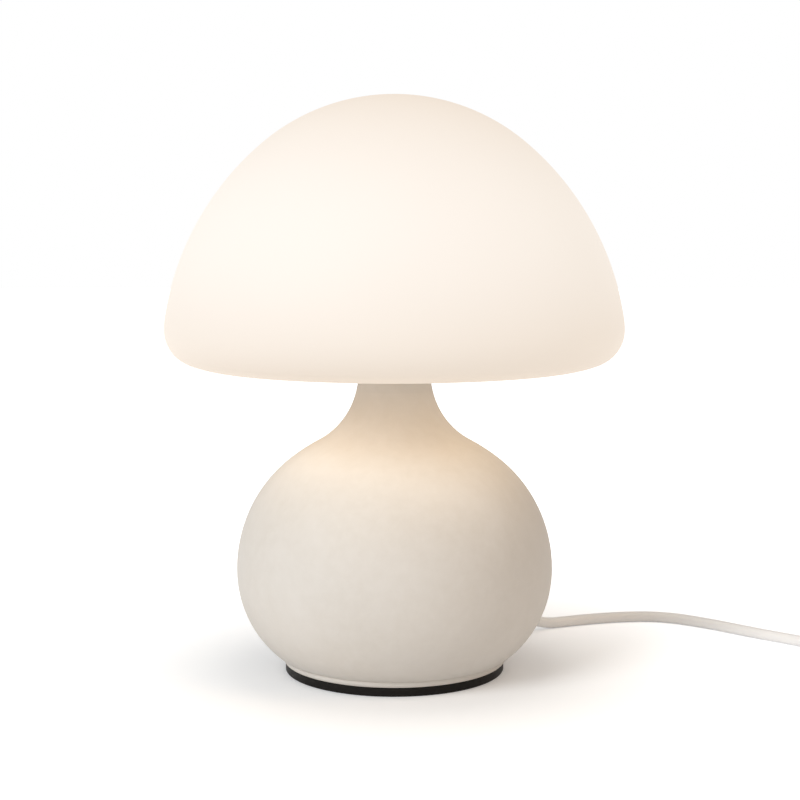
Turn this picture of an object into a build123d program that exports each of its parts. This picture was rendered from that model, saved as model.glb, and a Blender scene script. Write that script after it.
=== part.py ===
from build123d import *
from math import acos, asin, cos, degrees, pi, radians, sin, sqrt, tan
import os

# A mushroom table lamp: an opal glass cap that lifts off a round ceramic body, an E14 lampholder
# with a globe bulb under the glass, and a mains cord with an in-line switch and a flat plug.
# Frame: origin at the centre of the foot's underside, +Z up, the front of the lamp towards -Y.
# The cord leaves the body low down at the back right and lies on the table.
#
# Round outlines are chains of tangent arcs. An arc is written (radius, angle), where the angle is
# that of the surface's normal from +Z at the arc's far end, and a hollow arc has a minus radius.

# ---- Driving dimensions, in mm and degrees ----

# Ceramic body
body_radius = 83.6
body_equator_height = 55.0
body_wall = 5.0
shoulder_arc = (73.0, 37.8)
slope_arc = (104.2, 28.1)
neck_arc = (-40.4, 77.4)
collar_arc = (-82.0, 84.4)
belly_arc = (63.5, 99.7)
tuck_radius = 57.5
neck_cap_thickness = 6.0
neck_edge_round = 1.2
groove_height = 8.8             # where the belly ends, above the table
groove_depth = 2.2
lip_height = 3.2
lip_tuck = 1.1                  # how far the lip draws in above the rubber ring
foot_land = 6.2                 # from the rubber ring's outer edge in to the foot's opening

# Rubber foot ring and the steel plate that it holds
ring_height = 4.8
ring_width = 10.2
ring_setback = 0.1              # of the ring's outer edge from the lip above it
ring_lower_lip = 1.8
ring_edge_round = 0.8
plate_edge_cover = 5.2          # rubber outside the plate's edge
plate_thickness = 1.6
plate_rise = 5.2
plate_centre_radius = 34.0
plate_slope_width = 6.0

# Threaded pipe, its nuts and washers (M10 x 1)
pipe_radius = 5.0
pipe_bore_radius = 4.0
pipe_foot_gap = 1.2             # from the table to the pipe's lower end
pipe_clearance = 0.2            # round the pipe in plates and washers
pipe_window_width = 5.8
pipe_window_length = 20.0
nut_width = 14.0                # across flats
nut_chamfer_angle = 30.0
base_nut_height = 4.0
gallery_nut_height = 3.0
washer_radius = 11.0
washer_thickness = 1.0
gasket_radius = 16.5
gasket_thickness = 1.0

# Shade gallery and the silicone cushion that the glass rests on
gallery_radius = 44.0
gallery_thickness = 1.5
bead_width = 2.4
bead_height = 6.6
vent_radius = 3.0
vent_circle_radius = 21.0
vent_count = 4
cushion_wall = 1.1
cushion_radius = 42.0
cushion_height = 2.6            # under the glass, at its opening
cushion_sleeve_height = 5.4
seat_gap = 0.2                  # between the cushion and the glass at rest

# Opal glass shade
shade_radius = 120.0
glass_wall = 3.0
shade_opening_radius = 35.0
crown_arc = (106.3, 40.0)
skirt_angle = 80.8              # where the shade's long side arc ends
skirt_arc = (40.0, 90.0)
rim_arc = (18.5, 160.0)
heel_arc = (54.0, 180.0)
underside_radius = 400.0
opening_side_gap = 0.5          # round the cushion's sleeve, inside the glass opening

# E14 lampholder
holder_radius = 14.0
holder_wall = 1.8
holder_boss_radius = 8.5
holder_boss_height = 6.0
holder_cone_height = 4.5
holder_cap_height = 19.5
holder_ledge_height = 15.0      # the ledge that the insert stands on, above the cap's underside
holder_ledge_radius = 9.0
holder_sleeve_height = 28.0
holder_mouth_radius = 8.9
holder_mouth_thickness = 2.0
insert_height = 10.5
insert_gap = 0.2
pipe_entry_depth = 7.0          # how far the pipe reaches into the holder's cap
shell_thickness = 0.5
shell_height = 19.0
shell_flange_radius = 9.5
contact_radius = 3.0
contact_height = 2.8
contact_taper = 30.0
lock_screw_radius = 1.45
lock_screw_length = 4.6
terminal_offset = 6.5
terminal_screw_radius = 1.45
terminal_screw_length = 4.1
wire_hole_depth = 6.5

# Globe bulb with an E14 cap
bulb_radius = 22.5
bulb_length = 78.0
bulb_wall = 1.2
globe_join_angle = 45.0         # where the globe meets the housing, below its centre
bulb_cap_radius = 6.85
bulb_cap_height = 15.7
cap_running_gap = 0.1           # radial, between the bulb's cap and the threaded shell
contact_gap = 0.3
bulb_contact_radius = 2.4
bulb_contact_height = 1.0
insulator_height = 2.5
insulator_radius = 5.9
skirt_foot_radius = 8.3
skirt_foot_height = 2.0
skirt_hollow = 0.8              # how far the housing's flare is drawn in
led_board_radius = 12.5
led_board_thickness = 1.6
led_chip_size = 2.8
led_chip_height = 0.7
led_chip_circle_radius = 8.5
led_chip_count = 8
thread_pitch = 25.4 / 9         # E14: nine turns to the inch
bulb_turns_out = 7

# Mains cord, its outlet and its wires
cord_diameter = 6.2
wire_radius = 1.1
wire_spacing = 2.6
wire_bend_radius = 7.0
wire_fan_radius = 3.0
wire_fan_room = (2.75, 2.2)      # straight wire above the pipe and under the insert
outlet_angle = 119.2            # the body's normal at the outlet, from +Z
outlet_azimuth = 45.0           # from +Y towards +X
outlet_hole_radius = 5.0
outlet_fit = 0.2                # radial, round the grommet in the body
grommet_flange_radius = 7.5
grommet_flange_thickness = 2.0
grommet_length = 24.0           # outside the body
grommet_root_radius = 5.2
grommet_tip_radius = 4.2
grommet_barb_radius = 6.2
grommet_barb_gap = 0.6          # behind the ceramic wall
grommet_barb_length = 3.0
grommet_rib_count = 5
grommet_rib_height = 0.55
cord_bore_fit = 0.05
retainer_radius = 6.0
retainer_length = 6.0
sheath_end_gap = 18.0           # from the pipe's axis to the end of the sheath, along the cord

# Cord route on the table: the points were chosen by hand, from the outlet to the plug
table_clearance = 0.05
run_share = 0.45                # of the shorter run beside a bend, in its arc
cord_height = cord_diameter / 2 + table_clearance
switch_entry_height = 7.0
plug_entry_height = 6.85
lead_first_run = 22.7           # along the outlet's axis, down to the table
lead_points = [(107.0, 94.0, cord_height), (135.0, 103.0, cord_height),
               (160.0, 103.5, cord_height), (183.0, 87.0, cord_height), (207.0, 62.0, cord_height),
               (230.0, 42.0, cord_height), (250.0, 20.0, cord_height), (256.0, -4.0, cord_height),
               (257.0, -25.0, switch_entry_height), (257.0, -40.0, switch_entry_height)]
link_drop = (0.6, -31.0)        # where the link meets the table, from the switch's far end, X and Y
link_first_run = 13.0
link_last_run = 13.0

# Put-away coil: two layers, spiralling in and out again
coil_outer_radius = 46.5
coil_pitch = 6.91
coil_quarter_turns = 22
coil_layer_gap = 0.5
tail_points = [(0.0, 16.0), (-0.6, 38.0), (-2.6, 60.0), (-4.6, 80.0), (-4.6, 95.0)]

# In-line rocker switch
switch_length = 62.0
switch_half_width = 13.0
switch_end_half_width = 6.0
switch_shoulder = 15.0          # half length of the wide middle
switch_height = 16.4
switch_end_height = 12.4
switch_wall = 1.8
switch_edge_round = 2.5
rocker_length = 19.4
rocker_width = 12.0
rocker_gap = 0.3
rocker_pivot_height = 12.0
rocker_dip = 3.2
rocker_tip = 5.2
rocker_depth = 2.5
rocker_throw = 14.0
pivot_radius = 1.5
pivot_fit = 0.05
pivot_length = 2.2
ear_thickness = 2.0
ear_half_width = 3.0
ear_roof_gap = 0.2
switch_screw_offset = 20.5
switch_screw_radius = 1.45
switch_screw_head_radius = 2.75
switch_screw_head_height = 1.8
switch_screw_length = 8.0       # under its head
switch_screw_fit = 0.1
switch_pad_height = 3.6
switch_boss_radius = 3.2
contact_strip = (5.0, 9.0, 1.0)
contact_strip_offset = 7.5
contact_rivet_radius = 1.6
contact_rivet_height = 1.2

# Flat two-pin plug
plug_face_half_width = 17.65
plug_thickness = 13.7
plug_waist_half_width = 12.0
plug_tail_half_width = 7.5
plug_length = 38.0
plug_tail_length = 9.0          # the rounded end by the cord
plug_waist_end = 20.0
plug_head_start = 31.0
plug_edge_round = 2.5
plug_relief_length = 30.0
plug_relief_root_radius = 5.4
plug_relief_tip_radius = 4.1
pin_radius = 2.0
pin_sleeve_length = 10.0
pin_bare_length = 9.0
pin_root_spacing = 18.6
pin_tip_spacing = 17.5
pin_sleeve_radius = 1.7
pin_core_radius = 1.3
pin_core_fit = 0.05
pin_tip_chamfer = 0.8
pin_depth = 8.0                 # of the pin inside the plug

os.makedirs("parts", exist_ok=True)


# ---- Outlines ----

def arc_end(start, angle, arc):
    """The far end of an arc that starts at a point with its normal at an angle."""
    radius, end_angle = arc
    first, last = radians(angle), radians(end_angle)
    return (start[0] + radius * (sin(last) - sin(first)), start[1] + radius * (cos(last) - cos(first)))


def chain_end(start, angle, arcs):
    """The last point of a chain of tangent arcs."""
    for arc in arcs:
        start, angle = arc_end(start, angle, arc), arc[1]
    return start


def draw_chain(start, angle, arcs):
    """Draw a chain of tangent arcs in the open BuildLine and return its last point."""
    for radius, end_angle in arcs:
        middle = arc_end(start, angle, (radius, (angle + end_angle) / 2))
        end = arc_end(start, angle, (radius, end_angle))
        ThreePointArc(start, middle, end)
        start, angle = end, end_angle
    return start


def inset(start, angle, arcs, wall):
    """The same chain moved inwards by a wall."""
    inner_start = (start[0] - wall * sin(radians(angle)), start[1] - wall * cos(radians(angle)))
    return inner_start, [(radius - wall, end_angle) for radius, end_angle in arcs]


def angle_at_height(start, angle, radius, height):
    """The normal's angle where an arc reaches a height."""
    return degrees(acos(cos(radians(angle)) + (height - start[1]) / radius))


# The body's outline, up and down from its equator
equator = (body_radius, body_equator_height)
upper_arcs = [shoulder_arc, slope_arc, neck_arc, collar_arc]
neck_top = chain_end(equator, 90, upper_arcs)
tuck_start = arc_end(equator, 90, belly_arc)
tuck_angle = angle_at_height(tuck_start, belly_arc[1], tuck_radius, groove_height)
lower_arcs = [belly_arc, (tuck_radius, tuck_angle)]
belly_end = chain_end(equator, 90, lower_arcs)

# Heights of what stands on the neck
gallery_bottom = neck_top[1] + gasket_thickness
gallery_top = gallery_bottom + gallery_thickness
gallery_nut_bottom = gallery_top + washer_thickness
holder_bottom = gallery_nut_bottom + gallery_nut_height
pipe_top = holder_bottom + pipe_entry_depth
insert_bottom = holder_bottom + holder_ledge_height
insert_top = insert_bottom + insert_height
holder_joint = holder_bottom + holder_cap_height
holder_top = holder_joint + holder_sleeve_height
bulb_tip = insert_top + contact_height + contact_gap

# The shade's outline, down from its crown; its side arc is as long as the diameter asks
side_reach = shade_radius - crown_arc[0] * sin(radians(crown_arc[1]))
side_reach -= skirt_arc[0] * (1 - sin(radians(skirt_angle)))
side_radius = side_reach / (sin(radians(skirt_angle)) - sin(radians(crown_arc[1])))
shade_side_arcs = [crown_arc, (side_radius, skirt_angle), skirt_arc, rim_arc, heel_arc]
heel = chain_end((0, 0), 0, shade_side_arcs)
underside_reach = heel[0] - shade_opening_radius - glass_wall / 2
underside_angle = 180 + degrees(asin(underside_reach / underside_radius))
shade_arcs = shade_side_arcs + [(underside_radius, underside_angle)]
glass_seat_height = gallery_top + cushion_height + seat_gap
crown_height = glass_seat_height - chain_end((0, 0), 0, shade_arcs)[1]
heel_height = crown_height + heel[1]


def glass_underside(radius):
    """Height of the shade's underside at a radius."""
    drop = (heel[0] - radius) / underside_radius
    return heel_height + underside_radius * (1 - sqrt(1 - drop ** 2))


# ---- Body and foot ----

lip_top = (belly_end[0] - groove_depth, ring_height + lip_height)
lip_bottom = (lip_top[0] - lip_tuck, ring_height)
ring_radius = lip_bottom[0] - ring_setback
ring_inner_radius = ring_radius - ring_width
plate_radius = ring_radius - plate_edge_cover
foot_opening_radius = ring_radius - foot_land
with BuildPart() as body_shell:
    with BuildSketch(Plane.XZ):
        with BuildLine():
            draw_chain(equator, 90, upper_arcs)
            draw_chain(equator, 90, lower_arcs)
            Line(belly_end, lip_top)
            ThreePointArc(lip_top, (lip_top[0], ring_height + lip_height / 2), lip_bottom)
            Polyline(lip_bottom, (0, ring_height), (0, neck_top[1]), neck_top)
        make_face()
    revolve(axis=Axis.Z)
    inner_equator, inner_upper = inset(equator, 90, upper_arcs, body_wall)
    inner_lower = inset(equator, 90, lower_arcs, body_wall)[1]
    inner_collar_start = chain_end(inner_equator, 90, inner_upper[:-1])
    inner_ceiling = neck_top[1] - neck_cap_thickness
    collar_end_angle = angle_at_height(inner_collar_start, neck_arc[1], inner_upper[-1][0], inner_ceiling)
    inner_upper[-1] = (inner_upper[-1][0], collar_end_angle)
    with BuildSketch(Plane.XZ):
        with BuildLine():
            inner_neck = draw_chain(inner_equator, 90, inner_upper)
            inner_foot = draw_chain(inner_equator, 90, inner_lower)
            foot_corner = (foot_opening_radius, inner_foot[1] - (inner_foot[0] - foot_opening_radius) / 2)
            Polyline(inner_foot, foot_corner, (foot_opening_radius, ring_height), (0, ring_height),
                     (0, inner_ceiling), (inner_neck[0], inner_ceiling))
        make_face()
    revolve(axis=Axis.Z, mode=Mode.SUBTRACT)
    with BuildSketch(Plane.XY.offset(inner_ceiling - body_wall)):
        Circle(pipe_radius + pipe_clearance)
    extrude(amount=neck_cap_thickness + 2 * body_wall, mode=Mode.SUBTRACT)

    # Hole for the cord, square to the wall
    outlet_wall = arc_end(tuck_start, belly_arc[1], (tuck_radius, outlet_angle))
    outlet_plan = (sin(radians(outlet_azimuth)), cos(radians(outlet_azimuth)))
    outlet_point = Vector(outlet_wall[0] * outlet_plan[0], outlet_wall[0] * outlet_plan[1], outlet_wall[1])
    outlet_axis = Vector(sin(radians(outlet_angle)) * outlet_plan[0],
                         sin(radians(outlet_angle)) * outlet_plan[1], cos(radians(outlet_angle)))
    outlet_plane = Plane(origin=outlet_point, z_dir=outlet_axis)
    with BuildSketch(outlet_plane.offset(-2 * body_wall)):
        Circle(outlet_hole_radius)
    extrude(amount=3 * body_wall, mode=Mode.SUBTRACT)
    neck_edges = body_shell.edges().filter_by(GeomType.CIRCLE).group_by(Axis.Z)[-1]
    fillet(neck_edges.sort_by(SortBy.RADIUS)[-1], radius=neck_edge_round)
body_shell.part.label = "body_shell"
export_step(body_shell.part, "parts/body_shell.step")

ring_groove_top = ring_lower_lip + plate_thickness
with BuildPart() as foot_ring:
    with BuildSketch(Plane.XZ):
        with BuildLine():
            Polyline((ring_inner_radius, 0), (ring_radius, 0), (ring_radius, ring_height),
                     (ring_inner_radius, ring_height), (ring_inner_radius, ring_groove_top),
                     (plate_radius, ring_groove_top), (plate_radius, ring_lower_lip),
                     (ring_inner_radius, ring_lower_lip), close=True)
        make_face()
    revolve(axis=Axis.Z)
    outer_edges = foot_ring.edges().filter_by(GeomType.CIRCLE).group_by(SortBy.RADIUS)[-1]
    fillet(outer_edges.sort_by(Axis.Z)[0], radius=ring_edge_round)
    chamfer(outer_edges.sort_by(Axis.Z)[-1], length=ring_edge_round / 2)
foot_ring.part.label = "foot_ring"
export_step(foot_ring.part, "parts/foot_ring.step")

pipe_hole_radius = pipe_radius + pipe_clearance
plate_centre_bottom = ring_lower_lip + plate_rise
plate_centre_top = plate_centre_bottom + plate_thickness
slope_radius = plate_centre_radius + plate_slope_width
with BuildPart() as base_plate:
    with BuildSketch(Plane.XZ):
        with BuildLine():
            Polyline((pipe_hole_radius, plate_centre_bottom), (plate_centre_radius, plate_centre_bottom),
                     (slope_radius, ring_lower_lip), (plate_radius, ring_lower_lip),
                     (plate_radius, ring_groove_top), (slope_radius + plate_thickness / 2, ring_groove_top),
                     (plate_centre_radius + plate_thickness / 2, plate_centre_top),
                     (pipe_hole_radius, plate_centre_top), close=True)
        make_face()
    revolve(axis=Axis.Z)
base_plate.part.label = "base_plate"
export_step(base_plate.part, "parts/base_plate.step")

with BuildPart() as base_washer:
    with BuildSketch(Plane.XY.offset(plate_centre_bottom - washer_thickness)):
        Circle(washer_radius)
        Circle(pipe_hole_radius, mode=Mode.SUBTRACT)
    extrude(amount=washer_thickness)
base_washer.part.label = "base_washer"
export_step(base_washer.part, "parts/base_washer.step")

nut_corner_radius = nut_width / sqrt(3)
nut_corner_drop = (nut_corner_radius - nut_width / 2) * tan(radians(nut_chamfer_angle))


def draw_nut_turning(bottom, height):
    """Half the turned outline that chamfers a nut's corners at both faces."""
    top = bottom + height
    Polyline((0, bottom), (nut_width / 2, bottom), (nut_corner_radius, bottom + nut_corner_drop),
             (nut_corner_radius, top - nut_corner_drop), (nut_width / 2, top), (0, top), close=True)


base_nut_bottom = plate_centre_bottom - washer_thickness - base_nut_height
with BuildPart() as base_nut:
    with BuildSketch(Plane.XY.offset(base_nut_bottom)):
        RegularPolygon(nut_corner_radius, 6)
        Circle(pipe_radius, mode=Mode.SUBTRACT)
    extrude(amount=base_nut_height)
    with BuildSketch(Plane.XZ):
        with BuildLine():
            draw_nut_turning(base_nut_bottom, base_nut_height)
        make_face()
    revolve(axis=Axis.Z, mode=Mode.INTERSECT)
base_nut.part.label = "base_nut"
export_step(base_nut.part, "parts/base_nut.step")

# The cord's axis runs on inwards from its outlet and meets the pipe's axis at the window
window_height = outlet_point.Z - outlet_wall[0] / sin(radians(outlet_angle)) * outlet_axis.Z
window_plane = Plane(origin=(0, 0, window_height), x_dir=(0, 0, 1), z_dir=(outlet_plan[0], outlet_plan[1], 0))
with BuildPart() as lamp_pipe:
    with BuildSketch(Plane.XY.offset(pipe_foot_gap)):
        Circle(pipe_radius)
        Circle(pipe_bore_radius, mode=Mode.SUBTRACT)
    extrude(amount=pipe_top - pipe_foot_gap)
    with BuildSketch(window_plane):
        SlotOverall(pipe_window_length, pipe_window_width)
    extrude(amount=2 * pipe_radius, mode=Mode.SUBTRACT)
lamp_pipe.part.label = "lamp_pipe"
export_step(lamp_pipe.part, "parts/lamp_pipe.step")

# ---- Shade gallery ----

with BuildPart() as neck_gasket:
    with BuildSketch(Plane.XY.offset(neck_top[1])):
        Circle(gasket_radius)
        Circle(pipe_hole_radius, mode=Mode.SUBTRACT)
    extrude(amount=gasket_thickness)
neck_gasket.part.label = "neck_gasket"
export_step(neck_gasket.part, "parts/neck_gasket.step")

sleeve_radius = shade_opening_radius - opening_side_gap
bead_radius = sleeve_radius - cushion_wall
bead_inner_radius = bead_radius - bead_width
with BuildPart() as shade_gallery:
    with BuildSketch(Plane.XZ):
        with BuildLine():
            bead_shoulder = gallery_top + bead_height - bead_width / 2
            Polyline((bead_inner_radius, bead_shoulder), (bead_inner_radius, gallery_top),
                     (pipe_hole_radius, gallery_top), (pipe_hole_radius, gallery_bottom),
                     (gallery_radius - gallery_thickness / 2, gallery_bottom))
            ThreePointArc((gallery_radius - gallery_thickness / 2, gallery_bottom),
                          (gallery_radius, (gallery_bottom + gallery_top) / 2),
                          (gallery_radius - gallery_thickness / 2, gallery_top))
            Polyline((gallery_radius - gallery_thickness / 2, gallery_top), (bead_radius, gallery_top),
                     (bead_radius, bead_shoulder))
            ThreePointArc((bead_radius, bead_shoulder),
                          ((bead_radius + bead_inner_radius) / 2, gallery_top + bead_height),
                          (bead_inner_radius, bead_shoulder))
        make_face()
    revolve(axis=Axis.Z)
    with BuildSketch(Plane.XY.offset(gallery_bottom)):
        with PolarLocations(vent_circle_radius, vent_count, start_angle=180 / vent_count):
            Circle(vent_radius)
    extrude(amount=gallery_thickness, mode=Mode.SUBTRACT)
shade_gallery.part.label = "shade_gallery"
export_step(shade_gallery.part, "parts/shade_gallery.step")

with BuildPart() as gallery_washer:
    with BuildSketch(Plane.XY.offset(gallery_top)):
        Circle(washer_radius)
        Circle(pipe_hole_radius, mode=Mode.SUBTRACT)
    extrude(amount=washer_thickness)
gallery_washer.part.label = "gallery_washer"
export_step(gallery_washer.part, "parts/gallery_washer.step")

with BuildPart() as gallery_nut:
    with BuildSketch(Plane.XY.offset(gallery_nut_bottom)):
        RegularPolygon(nut_corner_radius, 6)
        Circle(pipe_radius, mode=Mode.SUBTRACT)
    extrude(amount=gallery_nut_height)
    with BuildSketch(Plane.XZ):
        with BuildLine():
            draw_nut_turning(gallery_nut_bottom, gallery_nut_height)
        make_face()
    revolve(axis=Axis.Z, mode=Mode.INTERSECT)
gallery_nut.part.label = "gallery_nut"
export_step(gallery_nut.part, "parts/gallery_nut.step")

# The cushion's top follows the underside of the glass
with BuildPart() as cushion_ring:
    with BuildSketch(Plane.XZ):
        with BuildLine():
            sleeve_top = gallery_top + cushion_sleeve_height
            cushion_middle = (sleeve_radius + cushion_radius) / 2
            cushion_crest = glass_underside(sleeve_radius) - seat_gap
            cushion_edge = glass_underside(cushion_radius) - seat_gap
            Polyline((sleeve_radius, cushion_crest), (sleeve_radius, sleeve_top), (bead_radius, sleeve_top),
                     (bead_radius, gallery_top), (cushion_radius, gallery_top),
                     (cushion_radius, cushion_edge))
            ThreePointArc((cushion_radius, cushion_edge),
                          (cushion_middle, glass_underside(cushion_middle) - seat_gap),
                          (sleeve_radius, cushion_crest))
        make_face()
    revolve(axis=Axis.Z)
cushion_ring.part.label = "cushion_ring"
export_step(cushion_ring.part, "parts/cushion_ring.step")

# ---- Glass shade, with a fire-polished round edge at its opening ----

crown = (0, crown_height)
with BuildPart() as glass_shade:
    with BuildSketch(Plane.XZ):
        with BuildLine():
            outer_end = draw_chain(crown, 0, shade_arcs)
            inner_crown, inner_arcs = inset(crown, 0, shade_arcs, glass_wall)
            inner_end = draw_chain(inner_crown, 0, inner_arcs)
            Line(crown, inner_crown)
            edge_tangent = (cos(radians(underside_angle)), -sin(radians(underside_angle)))
            edge_middle = ((outer_end[0] + inner_end[0] + edge_tangent[0] * glass_wall) / 2,
                           (outer_end[1] + inner_end[1] + edge_tangent[1] * glass_wall) / 2)
            ThreePointArc(outer_end, edge_middle, inner_end)
        make_face()
    revolve(axis=Axis.Z)
glass_shade.part.label = "glass_shade"
export_step(glass_shade.part, "parts/glass_shade.step")

# ---- Lampholder ----

cap_inner_radius = holder_radius - holder_wall
cone_top = holder_bottom + holder_boss_height + holder_cone_height
with BuildPart() as holder_cap:
    with BuildSketch(Plane.XZ):
        with BuildLine():
            entry_top = holder_bottom + pipe_entry_depth
            Polyline((pipe_radius, holder_bottom), (holder_boss_radius, holder_bottom),
                     (holder_boss_radius, holder_bottom + holder_boss_height), (holder_radius, cone_top),
                     (holder_radius, holder_joint), (cap_inner_radius, holder_joint),
                     (cap_inner_radius, insert_bottom), (holder_ledge_radius, insert_bottom),
                     (holder_ledge_radius, entry_top), (pipe_radius, entry_top), close=True)
        make_face()
    revolve(axis=Axis.Z)
    lock_screw_height = holder_bottom + holder_boss_height / 2
    with BuildSketch(Plane.XZ):
        with Locations((0, lock_screw_height)):
            Circle(lock_screw_radius)
    extrude(amount=holder_radius, mode=Mode.SUBTRACT)
holder_cap.part.label = "holder_cap"
export_step(holder_cap.part, "parts/holder_cap.step")

with BuildPart() as lock_screw:
    with BuildSketch(Plane.XZ.offset(pipe_radius)):
        with Locations((0, lock_screw_height)):
            Circle(lock_screw_radius)
    extrude(amount=lock_screw_length)
lock_screw.part.label = "lock_screw"
export_step(lock_screw.part, "parts/lock_screw.step")

insert_radius = cap_inner_radius - insert_gap
terminal_height = insert_bottom + insert_height / 2
with BuildPart() as holder_insert:
    with BuildSketch(Plane.XY.offset(insert_bottom)):
        Circle(insert_radius)
    extrude(amount=insert_height)
    with BuildSketch(Plane.XY.offset(insert_bottom)):
        with Locations((terminal_offset, 0), (-terminal_offset, 0)):
            Circle(wire_radius + cord_bore_fit)
    extrude(amount=wire_hole_depth + wire_radius, mode=Mode.SUBTRACT)
    with BuildSketch(Plane.YZ.offset(-insert_radius)):
        with Locations((0, terminal_height)):
            Circle(terminal_screw_radius)
    extrude(amount=insert_radius - terminal_offset, mode=Mode.SUBTRACT)
    with BuildSketch(Plane.YZ.offset(terminal_offset)):
        with Locations((0, terminal_height)):
            Circle(terminal_screw_radius)
    extrude(amount=insert_radius - terminal_offset, mode=Mode.SUBTRACT)
holder_insert.part.label = "holder_insert"
export_step(holder_insert.part, "parts/holder_insert.step")

terminal_screw_inner = terminal_offset + wire_radius + cord_bore_fit
with BuildPart() as terminal_screws:
    with BuildSketch(Plane.YZ.offset(terminal_screw_inner)):
        with Locations((0, terminal_height)):
            Circle(terminal_screw_radius)
    extrude(amount=terminal_screw_length)
    mirror(about=Plane.YZ)
terminal_screws.part.label = "terminal_screws"
export_step(terminal_screws.part, "parts/terminal_screws.step")

with BuildPart() as holder_sleeve:
    with BuildSketch(Plane.XZ):
        with BuildLine():
            mouth_bottom = holder_top - holder_mouth_thickness
            Polyline((cap_inner_radius, holder_joint), (holder_radius, holder_joint),
                     (holder_radius, holder_top), (holder_mouth_radius, holder_top),
                     (holder_mouth_radius, mouth_bottom), (cap_inner_radius, mouth_bottom), close=True)
        make_face()
    revolve(axis=Axis.Z)
    fillet(holder_sleeve.edges().filter_by(GeomType.CIRCLE).group_by(Axis.Z)[-1].sort_by(
        SortBy.RADIUS)[-1], radius=holder_wall / 2)
holder_sleeve.part.label = "holder_sleeve"
export_step(holder_sleeve.part, "parts/holder_sleeve.step")

shell_bore_radius = bulb_cap_radius + cap_running_gap
shell_outer_radius = shell_bore_radius + shell_thickness
with BuildPart() as screw_shell:
    with BuildSketch(Plane.XZ):
        with BuildLine():
            Polyline((shell_bore_radius, insert_top), (shell_flange_radius, insert_top),
                     (shell_flange_radius, insert_top + shell_thickness),
                     (shell_outer_radius, insert_top + shell_thickness),
                     (shell_outer_radius, insert_top + shell_height),
                     (shell_bore_radius, insert_top + shell_height), close=True)
        make_face()
    revolve(axis=Axis.Z)
screw_shell.part.label = "screw_shell"
export_step(screw_shell.part, "parts/screw_shell.step")

with BuildPart() as centre_contact:
    with BuildSketch(Plane.XY.offset(insert_top)):
        Circle(contact_radius)
    extrude(amount=contact_height / 2)
    with BuildSketch(Plane.XY.offset(insert_top + contact_height / 2)):
        Circle(contact_radius)
    extrude(amount=contact_height / 2, taper=contact_taper)
centre_contact.part.label = "centre_contact"
export_step(centre_contact.part, "parts/centre_contact.step")

# ---- Bulb ----

insulator_bottom = bulb_tip + bulb_contact_height
bulb_cap_bottom = insulator_bottom + insulator_height
bulb_cap_top = bulb_cap_bottom + bulb_cap_height
globe_centre = bulb_tip + bulb_length - bulb_radius
with BuildPart() as bulb_contact:
    with BuildSketch(Plane.XY.offset(bulb_tip)):
        Circle(bulb_contact_radius)
    extrude(amount=bulb_contact_height)
bulb_contact.part.label = "bulb_contact"
export_step(bulb_contact.part, "parts/bulb_contact.step")

with BuildPart() as bulb_insulator:
    with BuildSketch(Plane.XY.offset(insulator_bottom)):
        Circle(bulb_contact_radius + bulb_contact_height)
    with BuildSketch(Plane.XY.offset(bulb_cap_bottom)):
        Circle(insulator_radius)
    loft()
bulb_insulator.part.label = "bulb_insulator"
export_step(bulb_insulator.part, "parts/bulb_insulator.step")

with BuildPart() as bulb_cap:
    with BuildSketch(Plane.XY.offset(bulb_cap_bottom)):
        Circle(bulb_cap_radius)
    extrude(amount=bulb_cap_height)
    chamfer(bulb_cap.edges().group_by(Axis.Z)[0], length=bulb_cap_radius - insulator_radius)
bulb_cap.part.label = "bulb_cap"
export_step(bulb_cap.part, "parts/bulb_cap.step")

# The housing widens from the cap to the globe
housing_join = globe_centre - bulb_radius * sin(radians(globe_join_angle))
housing_join_radius = bulb_radius * cos(radians(globe_join_angle))
with BuildPart() as bulb_housing:
    with BuildSketch(Plane.XZ):
        with BuildLine():
            foot_top = bulb_cap_top + skirt_foot_height
            flare = ((skirt_foot_radius + housing_join_radius) / 2 - skirt_hollow, (foot_top + housing_join) / 2)
            Polyline((0, housing_join), (0, bulb_cap_top), (skirt_foot_radius, bulb_cap_top),
                     (skirt_foot_radius, foot_top))
            ThreePointArc((skirt_foot_radius, foot_top), flare, (housing_join_radius, housing_join))
            Line((housing_join_radius, housing_join), (0, housing_join))
        make_face()
    revolve(axis=Axis.Z)
bulb_housing.part.label = "bulb_housing"
export_step(bulb_housing.part, "parts/bulb_housing.step")

with BuildPart() as led_board:
    with BuildSketch(Plane.XY.offset(housing_join)):
        Circle(led_board_radius)
    extrude(amount=led_board_thickness)
    with BuildSketch(Plane.XY.offset(housing_join + led_board_thickness)):
        with PolarLocations(led_chip_circle_radius, led_chip_count):
            Rectangle(led_chip_size, led_chip_size)
    extrude(amount=led_chip_height)
led_board.part.label = "led_board"
export_step(led_board.part, "parts/led_board.step")

with BuildPart() as bulb_globe:
    with BuildSketch(Plane.XZ):
        with BuildLine():
            globe_inner = bulb_radius - bulb_wall
            inner_join_radius = sqrt(globe_inner ** 2 - (globe_centre - housing_join) ** 2)
            CenterArc((0, globe_centre), bulb_radius, -globe_join_angle, 90 + globe_join_angle)
            inner_angle = degrees(asin((housing_join - globe_centre) / globe_inner))
            CenterArc((0, globe_centre), globe_inner, inner_angle, 90 - inner_angle)
            Line((0, globe_centre + globe_inner), (0, globe_centre + bulb_radius))
            Line((inner_join_radius, housing_join), (housing_join_radius, housing_join))
        make_face()
    revolve(axis=Axis.Z)
bulb_globe.part.label = "bulb_globe"
export_step(bulb_globe.part, "parts/bulb_globe.step")

# ---- Cord outlet and the wires inside, on the outlet's own axis ----

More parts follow.
